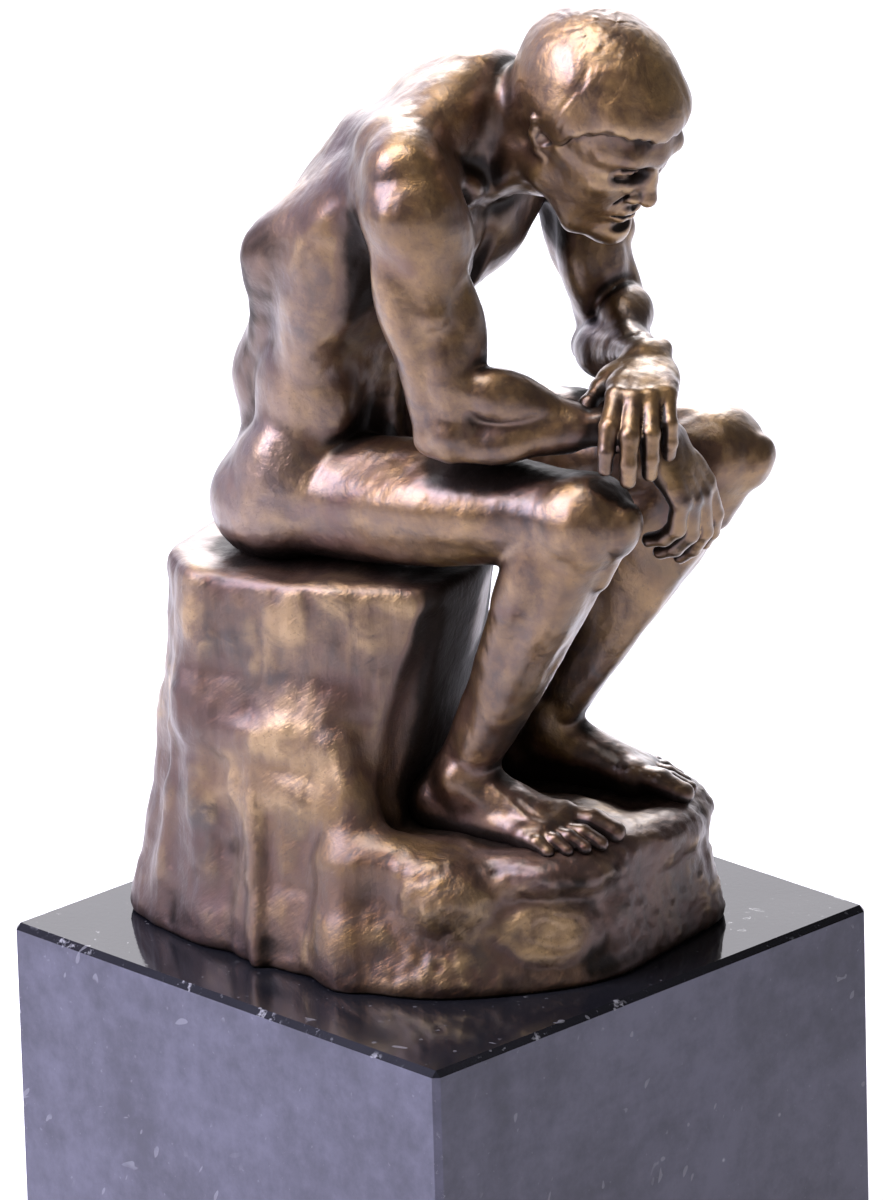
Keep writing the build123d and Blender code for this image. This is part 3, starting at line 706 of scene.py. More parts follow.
def hand(s):
    d, n, t = hand_axes(s)
    W = WRIST[s] + d * 0.5
    q = lambda a, b, c: W + d * a + t * b + n * c
    p = []
    p.append(spindle(q(0, 0.4, 0), q(15.5, 2.6, 0), 4.2, 4.6, 4.2, 0.5, n=n, s=0.64, k=1.6))
    p.append(spindle(q(0, -0.6, 0), q(14.0, -3.0, 0), 4.2, 4.4, 3.8, 0.5, n=n, s=0.64, k=1.6))
    p.append(spindle(q(12.5, 4.6, -0.1), q(12.0, -4.6, -0.1), 3.1, 3.3, 2.9, 0.5, n=n, s=0.74, k=1.6))
    p.append(egg(q(6.0, -4.4, 1.2), (3.1, 2.3, 5.2), axes(z=d, x=t), k=2.0))
    for name, (b, a, bones, r) in FINGER.items():
        sp = math.radians(SPREAD[s][name])
        dirn = d * math.cos(sp) + t * math.sin(sp)
        pos = q(a, b, -0.4)
        angle = 0.0
        pts, rad = [q(a - 6, b * 0.86, -0.9), pos], [1.2, r * 1.06]
        for i, bone in enumerate(bones):
            angle += math.radians(CURL[s][name][i])
            pos = pos + (dirn * math.cos(angle) + n * math.sin(angle)) * bone
            pts.append(pos)
            rad.append(r * (0.95, 0.87, 0.76)[i])
        p += chain(pts[:2], rad[:2], k=1.6)
        for i in range(1, 4):
            p.append(spindle(pts[i], pts[i + 1], rad[i], (rad[i] + rad[i + 1]) / 2 * 0.985, rad[i + 1], 0.5, k=0.5))
    base = q(3.0, 4.0, 1.6)
    th = [base, q(9.0, 7.8, 3.4), q(14.0, 9.4, 3.6), q(18.6, 9.6, 4.4)] if s == R_ else [base, q(8.4, 8.6, 3.0), q(13.0, 11.2, 4.2), q(16.6, 12.2, 6.4)]
    p.append(spindle(th[0], th[1], 2.8, 3.5, 2.4, 0.5, k=1.8))
    p.append(spindle(th[1], th[2], 2.35, 2.05, 2.0, 0.5, k=0.6))
    p.append(spindle(th[2], th[3], 2.0, 1.9, 1.35, 0.4, k=0.5))
    p.append(spindle(q(7, 3.0, 0), th[1], 2.2, 2.0, 1.6, 0.5, n=n, s=0.6, k=1.8))
    return p


# ------------------------------------------------------------------ legs
def thigh(s):
    Hp, K = HIP[s], KNEE[s]
    ax = unit(K - Hp)
    up = unit(V(0, 0, 1) - ax[2] * ax)
    out = np.cross(up, ax) if np.cross(up, ax)[0] * s > 0 else -np.cross(up, ax)
    at = lambda t, u=0.0, o=0.0: mix(Hp, K, t) + up * u + out * o
    p = [cap(at(0.0), at(1.0), 13.2, 9.6, k=3.5)]
    p.append(spindle(at(0.08, 5.6, 0.5), at(0.96, 4.0, 0), 5.0, 8.6, 3.6, 0.45, k=2.4))       # front head
    p.append(spindle(at(0.12, 1.0, 6.4), at(0.94, 1.2, 4.8), 5.0, 8.8, 4.0, 0.5, k=2.4))      # outer head
    p.append(spindle(at(0.35, 1.0, -5.0), at(0.96, 0.4, -5.4), 3.5, 7.2, 4.6, 0.68, k=2.4))   # inner head
    p.append(spindle(at(0.0, -4.5, 1.0), at(0.97, -4.8, 3.6), 8.0, 8.6, 3.0, 0.4, k=3.0))     # hamstrings
    p.append(spindle(at(0.0, -4.0, -4.0), at(0.97, -4.0, -4.0), 8.0, 8.0, 3.0, 0.4, k=3.0))
    p.append(spindle(at(0.0, 0.0, -5.0), at(0.75, -1.5, -4.5), 8.0, 8.0, 3.0, 0.3, k=4.0))    # adductors
    # knee
    axs = unit(ANKLE[s] - K)
    front = unit(V(0, -1, 0) - (V(0, -1, 0) @ axs) * axs)
    kd = unit(front + ax * 0.75 - axs * 0.1)
    p.append(egg(K + out * 3.8, (6.6, 8.0, 8.0), k=3.0))
    p.append(egg(K - out * 4.0, (6.6, 8.0, 8.0), k=3.0))
    p.append(egg(K + kd * 9.0, (4.9, 3.0, 5.2), axes(y=kd, z=unit(axs - (axs @ kd) * kd)), k=1.8))
    p.append(spindle(at(0.72, 7.2, 0.0), K + kd * 7.8 - axs * 2.5, 4.4, 4.2, 3.2, 0.5, k=3.0))
    p.append(egg(at(0.93, 2.0, -6.4), (4.6, 6.4, 5.4), k=2.6))
    return p


def shank(s):
    Hp, K, A = HIP[s], KNEE[s], ANKLE[s]
    ax = unit(A - K)
    front = unit(V(0, -1, 0) - (V(0, -1, 0) @ ax) * ax)
    out = np.cross(ax, front)
    if out[0] * s < 0:
        out = -out
    thax = unit(K - Hp)
    kd = unit(front + thax * 0.75 - ax * 0.1)
    at = lambda t, f=0.0, o=0.0: mix(K, A, t) + front * f + out * o
    p = [cap(at(0.05, 0.5), at(1.0), 8.8, 5.0, k=3.0)]
    p.append(spindle(K + kd * 8.2 + ax * 3.0, at(0.16, 7.6, -0.5), 2.6, 2.3, 2.7, 0.5, k=2.0))
    p.append(spindle(at(0.10, 5.6, -1.6), at(0.93, 2.8, -2.8), 3.8, 3.4, 2.3, 0.5, k=2.0))     # shin
    p.append(spindle(at(0.08, 3.4, 4.4), at(0.74, 2.2, 2.8), 3.6, 5.0, 2.2, 0.4, k=2.2))       # outer front muscle
    p.append(spindle(at(0.02, -4.2, -4.4), at(0.62, -4.4, -2.8), 4.6, 7.6, 3.0, 0.5, k=2.2))   # calf, inner
    p.append(spindle(at(0.02, -4.2, 4.0), at(0.56, -4.2, 2.6), 4.6, 6.8, 3.0, 0.46, k=2.2))    # calf, outer
    p.append(spindle(at(0.30, -2.4, 0.0), at(0.84, -3.2, 0.0), 5.2, 6.4, 2.8, 0.4, k=2.6))
    heel = V(A[0], A[1] + 8.2, SOLE + 6.5)
    p.append(spindle(at(0.62, -4.8, 0.0), heel, 2.9, 2.2, 3.4, 0.5, k=2.4))
    p.append(egg(A - out * 4.1 + V(0, 0, 1.0), (2.4, 2.9, 3.2), k=2.8))
    p.append(egg(A + out * 4.0 + V(0, 1.0, -1.0), (2.3, 2.8, 3.4), k=2.8))
    # foot
    turn = math.radians(FOOT_TURN[s] * s)
    fwd, lat = V(math.sin(turn), -math.cos(turn), 0), V(math.cos(turn), math.sin(turn), 0) * s
    ft = lambda a, o, z: V(A[0], A[1], SOLE) + fwd * a + lat * o + V(0, 0, z)     # forward, outward, above the sole
    p.append(egg(ft(-7.0, 0.2, 5.4), (5.6, 6.6, 5.8), k=3.0))
    p.append(cap(ft(-6.0, 0.6, 3.6), ft(20.0, 3.8, 2.6), 4.4, 3.0, k=3.0))
    p.append(cap(ft(1.0, -1.4, 8.6), ft(21.0, -3.4, 3.6), 5.0, 3.5, k=3.5))
    p.append(cap(ft(0.0, 0.2, 10.5), ft(16.0, 0.0, 5.2), 5.4, 3.6, k=3.5))
    p.append(cap(ft(-5.0, -0.4, 3.0), ft(19.0, -2.6, 2.8), 3.6, 3.2, k=2.5))
    p.append(cap(ft(20.0, -4.4, 3.1), ft(18.0, 4.8, 2.7), 3.5, 2.8, k=2.5))
    for o, a, ln, r0, r1 in ((-4.7, 22.0, 9.8, 2.9, 2.35), (-0.6, 23.0, 8.6, 1.95, 1.6), (2.2, 22.0, 7.6, 1.85, 1.5), (4.7, 20.4, 6.6, 1.75, 1.45), (6.9, 18.2, 5.6, 1.7, 1.4)):
        lean = 0.02 * (o - 1)
        p0, p1, p2 = ft(a - 1.5, o * 0.96, r0 + 1.5), ft(a + ln * 0.5, o + lean * ln, r0 + 1.2), ft(a + ln, o + lean * ln * 1.4, r1 - 0.1)
        p.append(cap(ft(a - 8, o * 0.55, 3.8), p0, 1.2, r0 * 0.95, k=3.0))
        p += chain([p0, p1, p2], [r0, r0 * 0.94, r1], k=0.45)
        p.append(egg(p2 - fwd * 0.3, (r1 * 1.08, r1 * 1.08, r1 * 0.95), k=0.4))
    for o, a in ((-4.2, 20), (-0.6, 21), (2.1, 20), (4.4, 18)):
        p.append(cap(ft(3.0, o * 0.35, 13.6), ft(a, o, 5.8), 0.5, 0.5, k=1.4))
    return p


# ------------------------------------------------------------------ the whole body as one field, cut into castings that match where they meet
NECK_AT, NECK_N = T(0, -2, 97), unit(H(0, -4, -8) - T(0, -3, 90))
WAIST_AT, WAIST_N = T(0, 0, 17), unit(V(0, 0.25, 1))      # rises to the front, clear of the thighs


def f32(v):
    return np.float32(v)


def plane(grid, at, n):
    x, y, z = grid.xyz()
    return (x - f32(at[0])) * f32(n[0]) + (y - f32(at[1])) * f32(n[1]) + (z - f32(at[2])) * f32(n[2])


def away(grid, c):
    x, y, z = grid.xyz()
    return (x - f32(c[0])) ** 2 + (y - f32(c[1])) ** 2 + (z - f32(c[2])) ** 2


def neck_share(grid):
    """Positive where a point belongs to the head: past the joint, within a cone about the neck."""
    d = plane(grid, NECK_AT, NECK_N)
    axis = cap(NECK_AT - NECK_N * 60, NECK_AT + NECK_N * 60, 0.0, 0.0)
    return np.minimum(d, (f32(15.0) + f32(1.3) * d - distance(axis, grid.xyz())) * f32(0.6)).astype(np.float32)


def hairline(hx, hf):
    """Height of the hair's edge: over the brow, down in front of the ears, round them and to the nape."""
    wave = 0.35 * np.sin(hx * 1.0 + 0.7) + 0.25 * np.sin(hx * 2.3 + hf * 0.9)
    return 8.6 + wave + 0.8 * np.clip(np.abs(hx) - 2.0, 0, 5) / 5 - np.clip((9.0 - hf) * 0.9, 0, 6.0) - np.clip((3.0 - hf) * 2.6, 0, 5.0) - np.clip((-3.0 - hf) * 1.1, 0, 9.0)


def head_field(grid):
    D_head = evaluate(grid, head())
    D_hair = evaluate(grid, hair())
    x, y, z = grid.xyz()
    rel = (x - f32(HEAD_C[0])), (y - f32(HEAD_C[1])), (z - f32(HEAD_C[2]))
    hx, hf, hu = (sum(rel[i] * f32(HEAD_R[i, a]) for i in range(3)) / f32(HS) for a in range(3))
    # hairline: over the brow, down in front of the ears, round them and to the nape
    line = hairline(hx, hf)
    D_hair = smax(D_hair, (line - hu) * f32(0.7 * HS), f32(1.7))
    return smin(D_head, D_hair, f32(0.5))


def arm_field(grid, s):
    return smin(evaluate(grid, arm(s)), evaluate(grid, hand(s)), f32(1.6))


def leg_fields(grid, s):
    th, sh = evaluate(grid, thigh(s)), evaluate(grid, shank(s))
    sh = np.maximum(sh, f32(SOLE - 0.9) - grid.xyz()[2])
    return th, sh


def trunk_field(grid, legs=()):
    D = evaluate(grid, trunk() + neck())
    for s in legs:
        k = 0.8 + 6.0 * np.exp(-away(grid, HIP[s] + V(6 * s, 12, -2)) / f32(2 * 13.0**2))
        D = smin(D, evaluate(grid, thigh(s)), k.astype(np.float32))
    return D


def with_arm(grid, D, A, s):
    """Joins an arm: broadly over the shoulder, with a crease further down where it only touches the ribs."""
    x, y, z = grid.xyz()
    c = SHOULDER[s] + V(-4 * s, 2, 2)
    dz = z - f32(c[2])
    r2 = (x - f32(c[0])) ** 2 + (y - f32(c[1])) ** 2 + np.where(dz < 0, dz * f32(1.5), dz) ** 2
    k = 0.7 + 6.0 * np.exp(-r2 / f32(2 * 14.0**2))
    return smin(D, A, k.astype(np.float32))


def arm_share(grid, Tr, A, s):
    """Positive where a point belongs to the arm and not to the trunk."""
    x, y, z = grid.xyz()
    S = SHOULDER[s]
    lean = np.clip(((x - f32(S[0])) * f32(s) + f32(8.0)) * f32(0.35), -3, 3) * np.clip((z - f32(S[2] - 26)) / f32(8.0), 0, 1)
    return (np.clip(Tr - A, -6, 6) + lean).astype(np.float32)


def ends(D, cut):
    return np.maximum(D, -cut)


def goes_under(D, cut):
    """Ends a casting that laps under its neighbour: it reaches a little past the joint, sunk by a hair."""
    return np.maximum(D + f32(0.2) * np.clip((cut - f32(0.7)) / f32(0.8), 0, 1), cut - f32(2.0))


def clay(v, g):
    """The modeller's touch: shallow pats and scrapes of the clay, in figure units, the same across all castings."""
    return 0.21 * fbm(v, 7.5, 2, 2) + 0.075 * fbm(v * np.array([1, 1, 0.55]), 2.6, 2, 7)


def locks(v, g):
    """Short hair combed from the crown: wavy ridges that run outward, on the hair only."""
    rel = (v - HEAD_C) @ HEAD_R / HS
    q = rel - np.array([0, -6.0, 10.0])
    r = np.linalg.norm(q, axis=1) + 1e-6
    lat = np.arctan2(q[:, 0], q[:, 1])
    pol = np.arccos(np.clip(q[:, 2] / r, -1, 1))
    bend = 0.26 * noise(rel, 8.0, 41) + 0.08 * noise(rel, 3.6, 42)
    ring = np.stack([np.cos(lat + bend) * 9.0, np.sin(lat + bend) * 9.0, pol * 3.2], 1) * np.clip(np.sin(pol), 0.25, 1)[:, None] ** np.array([1, 1, 0])
    strand = noise(ring, 0.9, 43)
    tuft = noise(ring * np.array([0.45, 0.45, 1.2]), 1.0, 45)
    return rel, 0.085 * strand + 0.10 * tuft


def hair_touch(v, g):
    rel, ridges = locks(v, g)
    line = hairline(rel[:, 0], rel[:, 1])
    on = np.clip((rel[:, 2] - line - 0.1) / 0.9, 0, 1) * np.clip((np.linalg.norm(rel / np.array([12.4, 15.9, 13.9]) - np.array([0, -0.16, 0.42]), axis=1) - 0.93) / 0.05, 0, 1)
    return clay(v, g) * (1 - 0.6 * on) + ridges * on


# ------------------------------------------------------------------ castings
def make_head():
    g = Grid(HEAD_C - V(27, 32, 34), HEAD_C + V(27, 40, 30), 0.34)
    D = smin(trunk_field(g), head_field(g), f32(3.0))
    cut = neck_share(g)
    return build("head", ends(D, cut), g, "head_casting", hair_touch, whole=D, cuts=[cut])


def make_torso():
    g = Grid(V(-46, -26, 94), V(46, 62, 182), 0.55)
    Tr = trunk_field(g, legs=(R_, L_))
    D = Tr
    shares = []
    for s in (R_, L_):
        A = arm_field(g, s)
        shares.append(arm_share(g, Tr, A, s))
        D = with_arm(g, D, A, s)
    D = smin(D, head_field(g), f32(3.0))
    whole = D
    for c in shares:
        D = goes_under(D, c)
    D = goes_under(D, neck_share(g))
    cut = plane(g, WAIST_AT, WAIST_N)
    return build("torso", ends(D, cut), g, "torso_casting", clay, whole=whole, cuts=[cut])


def make_arm(s):
    d, n, t = hand_axes(s)
    pts = np.array([SHOULDER[s] + V(0, 0, 4), ELBOW[s], WRIST[s], WRIST[s] + d * 32, WRIST[s] + d * 16 + n * 20])
    g = Grid(pts.min(0) - 15, pts.max(0) + V(15, 22, 15), 0.40)
    Tr, A = trunk_field(g), arm_field(g, s)
    D = with_arm(g, Tr, A, s)
    name = "right_arm" if s == R_ else "left_arm"
    cut = arm_share(g, Tr, A, s)
    return build(name, ends(D, cut), g, name + "_casting", clay, whole=D, cuts=[cut])


def leg_share(grid, th, sh, s):
    return np.maximum(plane(grid, mix(HIP[s], KNEE[s], 0.80), unit(KNEE[s] - HIP[s])), np.clip(th - sh, -6, 6))


def make_leg(s):
    K, A = KNEE[s], ANKLE[s]
    g = Grid(V(min(K[0], A[0]) - 18, min(K[1], A[1] - 34) - 16, SOLE - 2), V(max(K[0], A[0]) + 18, max(K[1], A[1]) + 26, K[2] + 18), 0.42)
    th, sh = leg_fields(g, s)
    D = smin(th, sh, f32(2.0))
    name = "right_leg" if s == R_ else "left_leg"
    cut = leg_share(g, th, sh, s)
    return build(name, ends(D, cut), g, name + "_casting", clay, whole=D, cuts=[cut])


def make_lap():
    g = Grid(V(-46, -46, 64), V(46, 62, 118), 0.52)
    D = trunk_field(g, legs=(R_, L_))
    whole = D
    for s in (R_, L_):
        th, sh = leg_fields(g, s)
        near = plane(g, V(0, 0, 0), V(s, 0, 0)) > 0
        joined = smin(D, sh, f32(2.0))
        whole = np.where(near, joined, whole)
        D = np.where(near, goes_under(joined, leg_share(g, th, sh, s)), D)
    D = goes_under(D, plane(g, WAIST_AT, WAIST_N))
    D = np.maximum(D, f32(SEAT_U - 1.5) - g.xyz()[2])
    return build("lap", D, g, "lap_casting", clay, whole=whole)


def statue_field(grid):
    D = trunk_field(grid, legs=(R_, L_))
    for s in (R_, L_):
        D = with_arm(grid, D, arm_field(grid, s), s)
        D = np.minimum(D, leg_fields(grid, s)[1])
    return np.minimum(np.minimum(D, head_field(grid)), rock_field(grid))


# ------------------------------------------------------------------ rock: tapered blocks with softened edges, in millimetres of the turned frame
def frustum(grid, low, z0, high, z1, k, tilt=(0.0, 0.0)):
    """A block between two outlines; its top falls off by tilt per millimetre along x and y."""
    x, y, z = grid.xyz()
    X, Y, Z = x * f32(FIG_SCALE) + f32(FIG_SIDE), y * f32(FIG_SCALE) + f32(FIG_BACK), z * f32(FIG_SCALE) + f32(FIG_UP)
    D = (Z - f32(z1) + f32(tilt[0]) * X + f32(tilt[1]) * Y) / f32(math.hypot(1, tilt[0], tilt[1]))
    D = np.broadcast_to(D, grid.n).astype(np.float32)
    n = len(low)
    for i in range(n):
        a, b, c = V(*low[i], z0), V(*low[(i + 1) % n], z0), (V(*high[i], z1) + V(*high[(i + 1) % n], z1)) / 2
        nn = unit(np.cross(b - a, c - a))
        mid = (a + b) / 2
        centre = np.mean(np.array(low), 0)
        if nn[:2] @ (mid[:2] - centre) < 0:
            nn = -nn
        d = (X - f32(a[0])) * f32(nn[0]) + (Y - f32(a[1])) * f32(nn[1]) + (Z - f32(a[2])) * f32(nn[2])
        D = smax(D, d, f32(k))
    return D / f32(FIG_SCALE)


MOUND_LOW = [(18, 55.5), (40, 38), (50, 5), (47, -30), (20, -55), (-21, -48.5), (-38, -32), (-46.5, -13), (-45, 5), (-39, 21), (-32.5, 44), (-20.5, 60)]
MOUND_TOP = [(17, 51), (34, 34), (42, 4), (38, -27), (16, -52.5), (-15, -45.5), (-29, -30), (-37, -12), (-36, 6), (-33, 24), (-29, 41), (-18.5, 55)]
LOWER_LOW = [(17, 54), (38, 38), (46, 14), (38, 2), (-24, -6), (-42, -2), (-39.5, 20.5), (-32, 43), (-20, 58.5)]
LOWER_TOP = [(15, 51), (33, 38), (39, 14), (33, 4), (-22, 1), (-32, 4), (-29.5, 25), (-26, 41), (-16, 52)]
UPPER_LOW = [(15, 51), (33, 38), (37, 24), (35, 8), (20, 0), (-12, -3), (-27, 1), (-31.5, 14), (-30.5, 40), (-17, 51.5)]
UPPER_TOP = [(14, 50), (26, 44), (31, 30), (29, 4), (19, -8), (-8, -18), (-23.5, -8), (-28.5, 13), (-28, 42), (-16, 50)]


def Q(x, y, z):
    """Millimetres of the turned frame to figure units."""
    return V((x - FIG_SIDE) / FIG_SCALE, (y - FIG_BACK) / FIG_SCALE, (z - FIG_UP) / FIG_SCALE)


def rock_extras():
    p = []
    # ridges left by the modelling tool on the near side, and the hollows beside them
    p.append(spindle(Q(-39.6, 20.7, -2), Q(-28.6, 25.4, 45), 1.9, 1.7, 1.0, 0.5, k=3.0))
    p.append(spindle(Q(-44.5, 11, 4), Q(-35.0, 17, 42), 3.6, 4.6, 2.4, 0.4, n=V(0.95, 0.3, 0.1), s=0.45, k=3.5, op="cut"))
    p.append(spindle(Q(-25.0, 49.0, -2), Q(-24.5, 45.0, 42), 1.6, 1.8, 0.8, 0.5, k=3.4))
    p.append(spindle(Q(-37.5, 34, 4), Q(-31.5, 36, 38), 4.0, 6.0, 3.0, 0.5, n=V(0.9, 0.4, 0), s=0.34, k=3.5, op="cut"))
    # shoulder of the lower block
    p.append(spindle(Q(-28.6, 9, 44.0), Q(-27.4, 40, 44.5), 1.6, 2.2, 1.6, 0.5, n=V(0, 0, 1), s=0.8, k=7.0))
    p.append(spindle(Q(-27.5, 10, 50.0), Q(-27.0, 40, 50.5), 1.8, 2.6, 1.8, 0.5, k=8.0))
    p.append(spindle(Q(-30.0, 6, 31), Q(-29.5, 20, 36), 1.6, 2.6, 1.2, 0.5, k=7.0))
    # scoops in the seat block, near side, back and far side
    p.append(egg(Q(-33.0, 26, 59), (3.0, 15, 10), k=4.5, op="cut"))
    p.append(egg(Q(0, 57.0, 48), (18, 4.0, 16), k=5.0, op="cut"))
    p.append(egg(Q(37.0, 30, 52), (4.0, 12, 15), k=5.0, op="cut"))
    p.append(spindle(Q(-6, 49, 20), Q(8, 48, 30), 5, 7, 4, 0.5, k=9.0))
    p.append(spindle(Q(29, 36, 10), Q(26, 36, 40), 5, 6, 3, 0.5, k=9.0))
    p.append(spindle(Q(40, 15, 2), Q(33, 17, 30), 5, 7, 3, 0.4, k=9.0))
    # recess behind the near calf
    p.append(spindle(Q(-20, -11.5, 68), Q(-25, -4.0, 34), 2.4, 5.2, 3.6, 0.55, k=4.0, op="cut"))
    # clay heaped about the feet, and between them
    for x, y, z, a, b, c in ((-31, -12, 23.6, 8.0, 8.0, 3.0), (-33, -2, 24.5, 6.0, 8.0, 5.0), (-22, -34, 22.8, 8.0, 7.0, 3.0), (-7, -39, 23.4, 8.0, 7.0, 3.0),
                             (-31, 3.5, 32, 4.0, 4.5, 8.0), (1, -26, 24.4, 6.0, 10.0, 3.2), (22, -37, 23.0, 8.0, 9.0, 3.4), (6, -47, 21.6, 9.0, 5.0, 3.4),
                             (27, -18, 24.4, 7.0, 10.0, 4.4), (-3, -9, 26.0, 9.0, 7.0, 6.0), (-35, -18, 18.0, 6.5, 8.0, 6.0)):
        p.append(egg(Q(x, y, z), (a, b, c), k=6.0))
    # a bed of clay under each sole
    for s in (R_, L_):
        t = math.radians(FOOT_TURN[s] * s)
        fwd, under = V(math.sin(t), -math.cos(t), 0), V(ANKLE[s][0] + 0.8 * s, ANKLE[s][1], SOLE - 4.2)
        p.append(spindle(under - fwd * 7, under + fwd * 25, 8.5, 10.0, 9.0, 0.5, n=V(0, 0, 1), s=0.36, k=4.0))
    # planes of the front slope and the far flank
    p.append(egg(Q(-46.5, -27, 15), (6.0, 9.0, 9.0), k=5.0, op="cut"))
    p.append(egg(Q(-5, -57.5, 13), (16.0, 5.5, 10.0), k=5.0, op="cut"))
    p.append(egg(Q(38, -47, 12), (11.0, 8.0, 11.0), k=5.0, op="cut"))
    p.append(egg(Q(53, -12, 16), (6.5, 12.0, 12.0), k=5.0, op="cut"))
    p.append(spindle(Q(-42.0, 0, 0), Q(-37.0, 3, 22), 4.0, 5.0, 3.0, 0.4, k=8.0))
    return p


def rock_field(g):
    D = frustum(g, MOUND_LOW, 0, MOUND_TOP, 25.0, 5.0)
    D = smin(D, frustum(g, LOWER_LOW, 0, LOWER_TOP, 46.0, 3.0, (0.04, -0.03)), f32(3.0))
    D = smin(D, frustum(g, UPPER_LOW, 30, UPPER_TOP, 76.4, 3.5), f32(2.5))
    D = evaluate(g, rock_extras(), D)
    # a narrow undercut all round the foot
    x, y, z = g.xyz()
    D = D + f32(0.9) * np.clip(1 - (z * f32(FIG_SCALE) + f32(FIG_UP)) / f32(2.6), 0, 1) ** 2
    return np.maximum(D, f32(-FIG_UP / FIG_SCALE) - z)


def make_rock():
    g = Grid(V(-62, -52, -FIG_UP / FIG_SCALE - 1.2), V(56, 78, SEAT_U + 4), 0.78)
    D = rock_field(g)
    mid, out = Q(-30.5, -38.5, 12.5), unit(V(-0.72, -0.62, 0.30))
    along = unit(np.cross(V(0, 0, 1), out))
    rise = np.cross(out, along)

    def recess(v, n):
        """The wall behind the calves, which stays smooth, and dark with patina and painted shade."""
        z = v[:, 2] * FIG_SCALE + FIG_UP
        return np.clip((-n[:, 1] - 0.25) / 0.45, 0, 1) * np.clip((z - 25) / 9, 0, 1) * np.clip((v[:, 1] + 10) / 4, 0, 1)

    # painted shade: a dark band along the rock's foot where it meets the plinth, and the recess behind the near calf
    # darkened (patina there, deepened as painted shade)
    def stain_and_shade(v, n):
        z = v[:, 2] * FIG_SCALE + FIG_UP
        foot = np.exp(-((z / 8.0) ** 2)) * (0.7 + 0.6 * noise(v, 7.0, 61))
        right = 0.439 * (v[:, 0] * FIG_SCALE + FIG_SIDE) - 0.898 * (v[:, 1] * FIG_SCALE + FIG_BACK)
        return 0.55 * recess(v, n) * np.clip((right + 12) / 14, 0, 1) * (0.9 + 0.5 * noise(v, 9.0, 62)) + 0.38 * foot

    def detail(v, n):
        side = 1 - np.abs(n[:, 2])
        up = np.clip(n[:, 2], 0, 1)
        warp = v + 1.6 * np.stack([noise(v, 14, 51), noise(v, 14, 52), noise(v, 14, 53)], 1)
        big = 0.75 * fbm(warp, 17.0, 2, 21) + 0.32 * fbm(warp, 6.0, 2, 24)
        # scraped streaks run down the sides, in patches; broad strokes run across
        patch = np.clip(0.5 + 0.9 * noise(v, 19, 31), 0, 1)
        down = side * (0.22 * patch * noise(warp * np.array([1.0, 1.0, 0.09]), 2.3, 27) + 0.10 * noise(warp * np.array([1.0, 1.0, 0.07]), 1.1, 28))
        across = side * (1 - patch) * 0.16 * noise(warp * np.array([0.16, 0.16, 1.0]), 2.6, 29)
        # stippled clay around the feet and over the front slope
        low = np.clip((26.0 - v[:, 2]) / 8.0, 0, 1) * np.clip((8.0 - v[:, 1]) / 14.0, 0, 1)
        pebbles = low * (0.26 * noise(warp, 2.1, 33) + 0.14 * noise(v, 1.2, 34))
        # an oval pad, rubbed round with the thumb
        rel = v - mid
        e = np.sqrt((rel @ along / 12.5) ** 2 + (rel @ rise / 7.0) ** 2 + (np.clip(np.abs(rel @ out) - 5, 0, 9) / 3) ** 2) + 0.16 * noise(v, 6.0, 37) + 0.05 * noise(v, 2.2, 38)
        pad = 0.5 * np.clip((1.0 - e) / 0.3, 0, 1) - 0.34 * np.exp(-(((e - 1.12) / 0.12) ** 2)) + 0.22 * np.sin(e * 19 + 3.4 * noise(v, 5, 36)) * np.clip(1.1 - e, 0, 1) * np.clip(e * 3, 0, 1)
        d = big + down + across + pebbles * np.clip(e - 0.8, 0, 1) + pad - 0.4 * big * np.clip(1.2 - e, 0, 1)
        d = d * (1 - 0.7 * recess(v, n))
        return d * np.clip((v[:, 2] + FIG_UP / FIG_SCALE) / 3.0, 0, 1) * np.where(up > 0.7, 0.75, 1.0)

    return build("rock", D, g, "rock_casting", detail, stain_and_shade=stain_and_shade)


# ------------------------------------------------------------------ materials
def new_material(name):
    m = bpy.data.materials.new(name)
    m.use_nodes = True
    nt = m.node_tree
    for n in list(nt.nodes):
        nt.nodes.remove(n)
    out = nt.nodes.new("ShaderNodeOutputMaterial")
    bsdf = nt.nodes.new("ShaderNodeBsdfPrincipled")
    nt.links.new(bsdf.outputs["BSDF"], out.inputs["Surface"])
    return m, Nodes(nt), bsdf


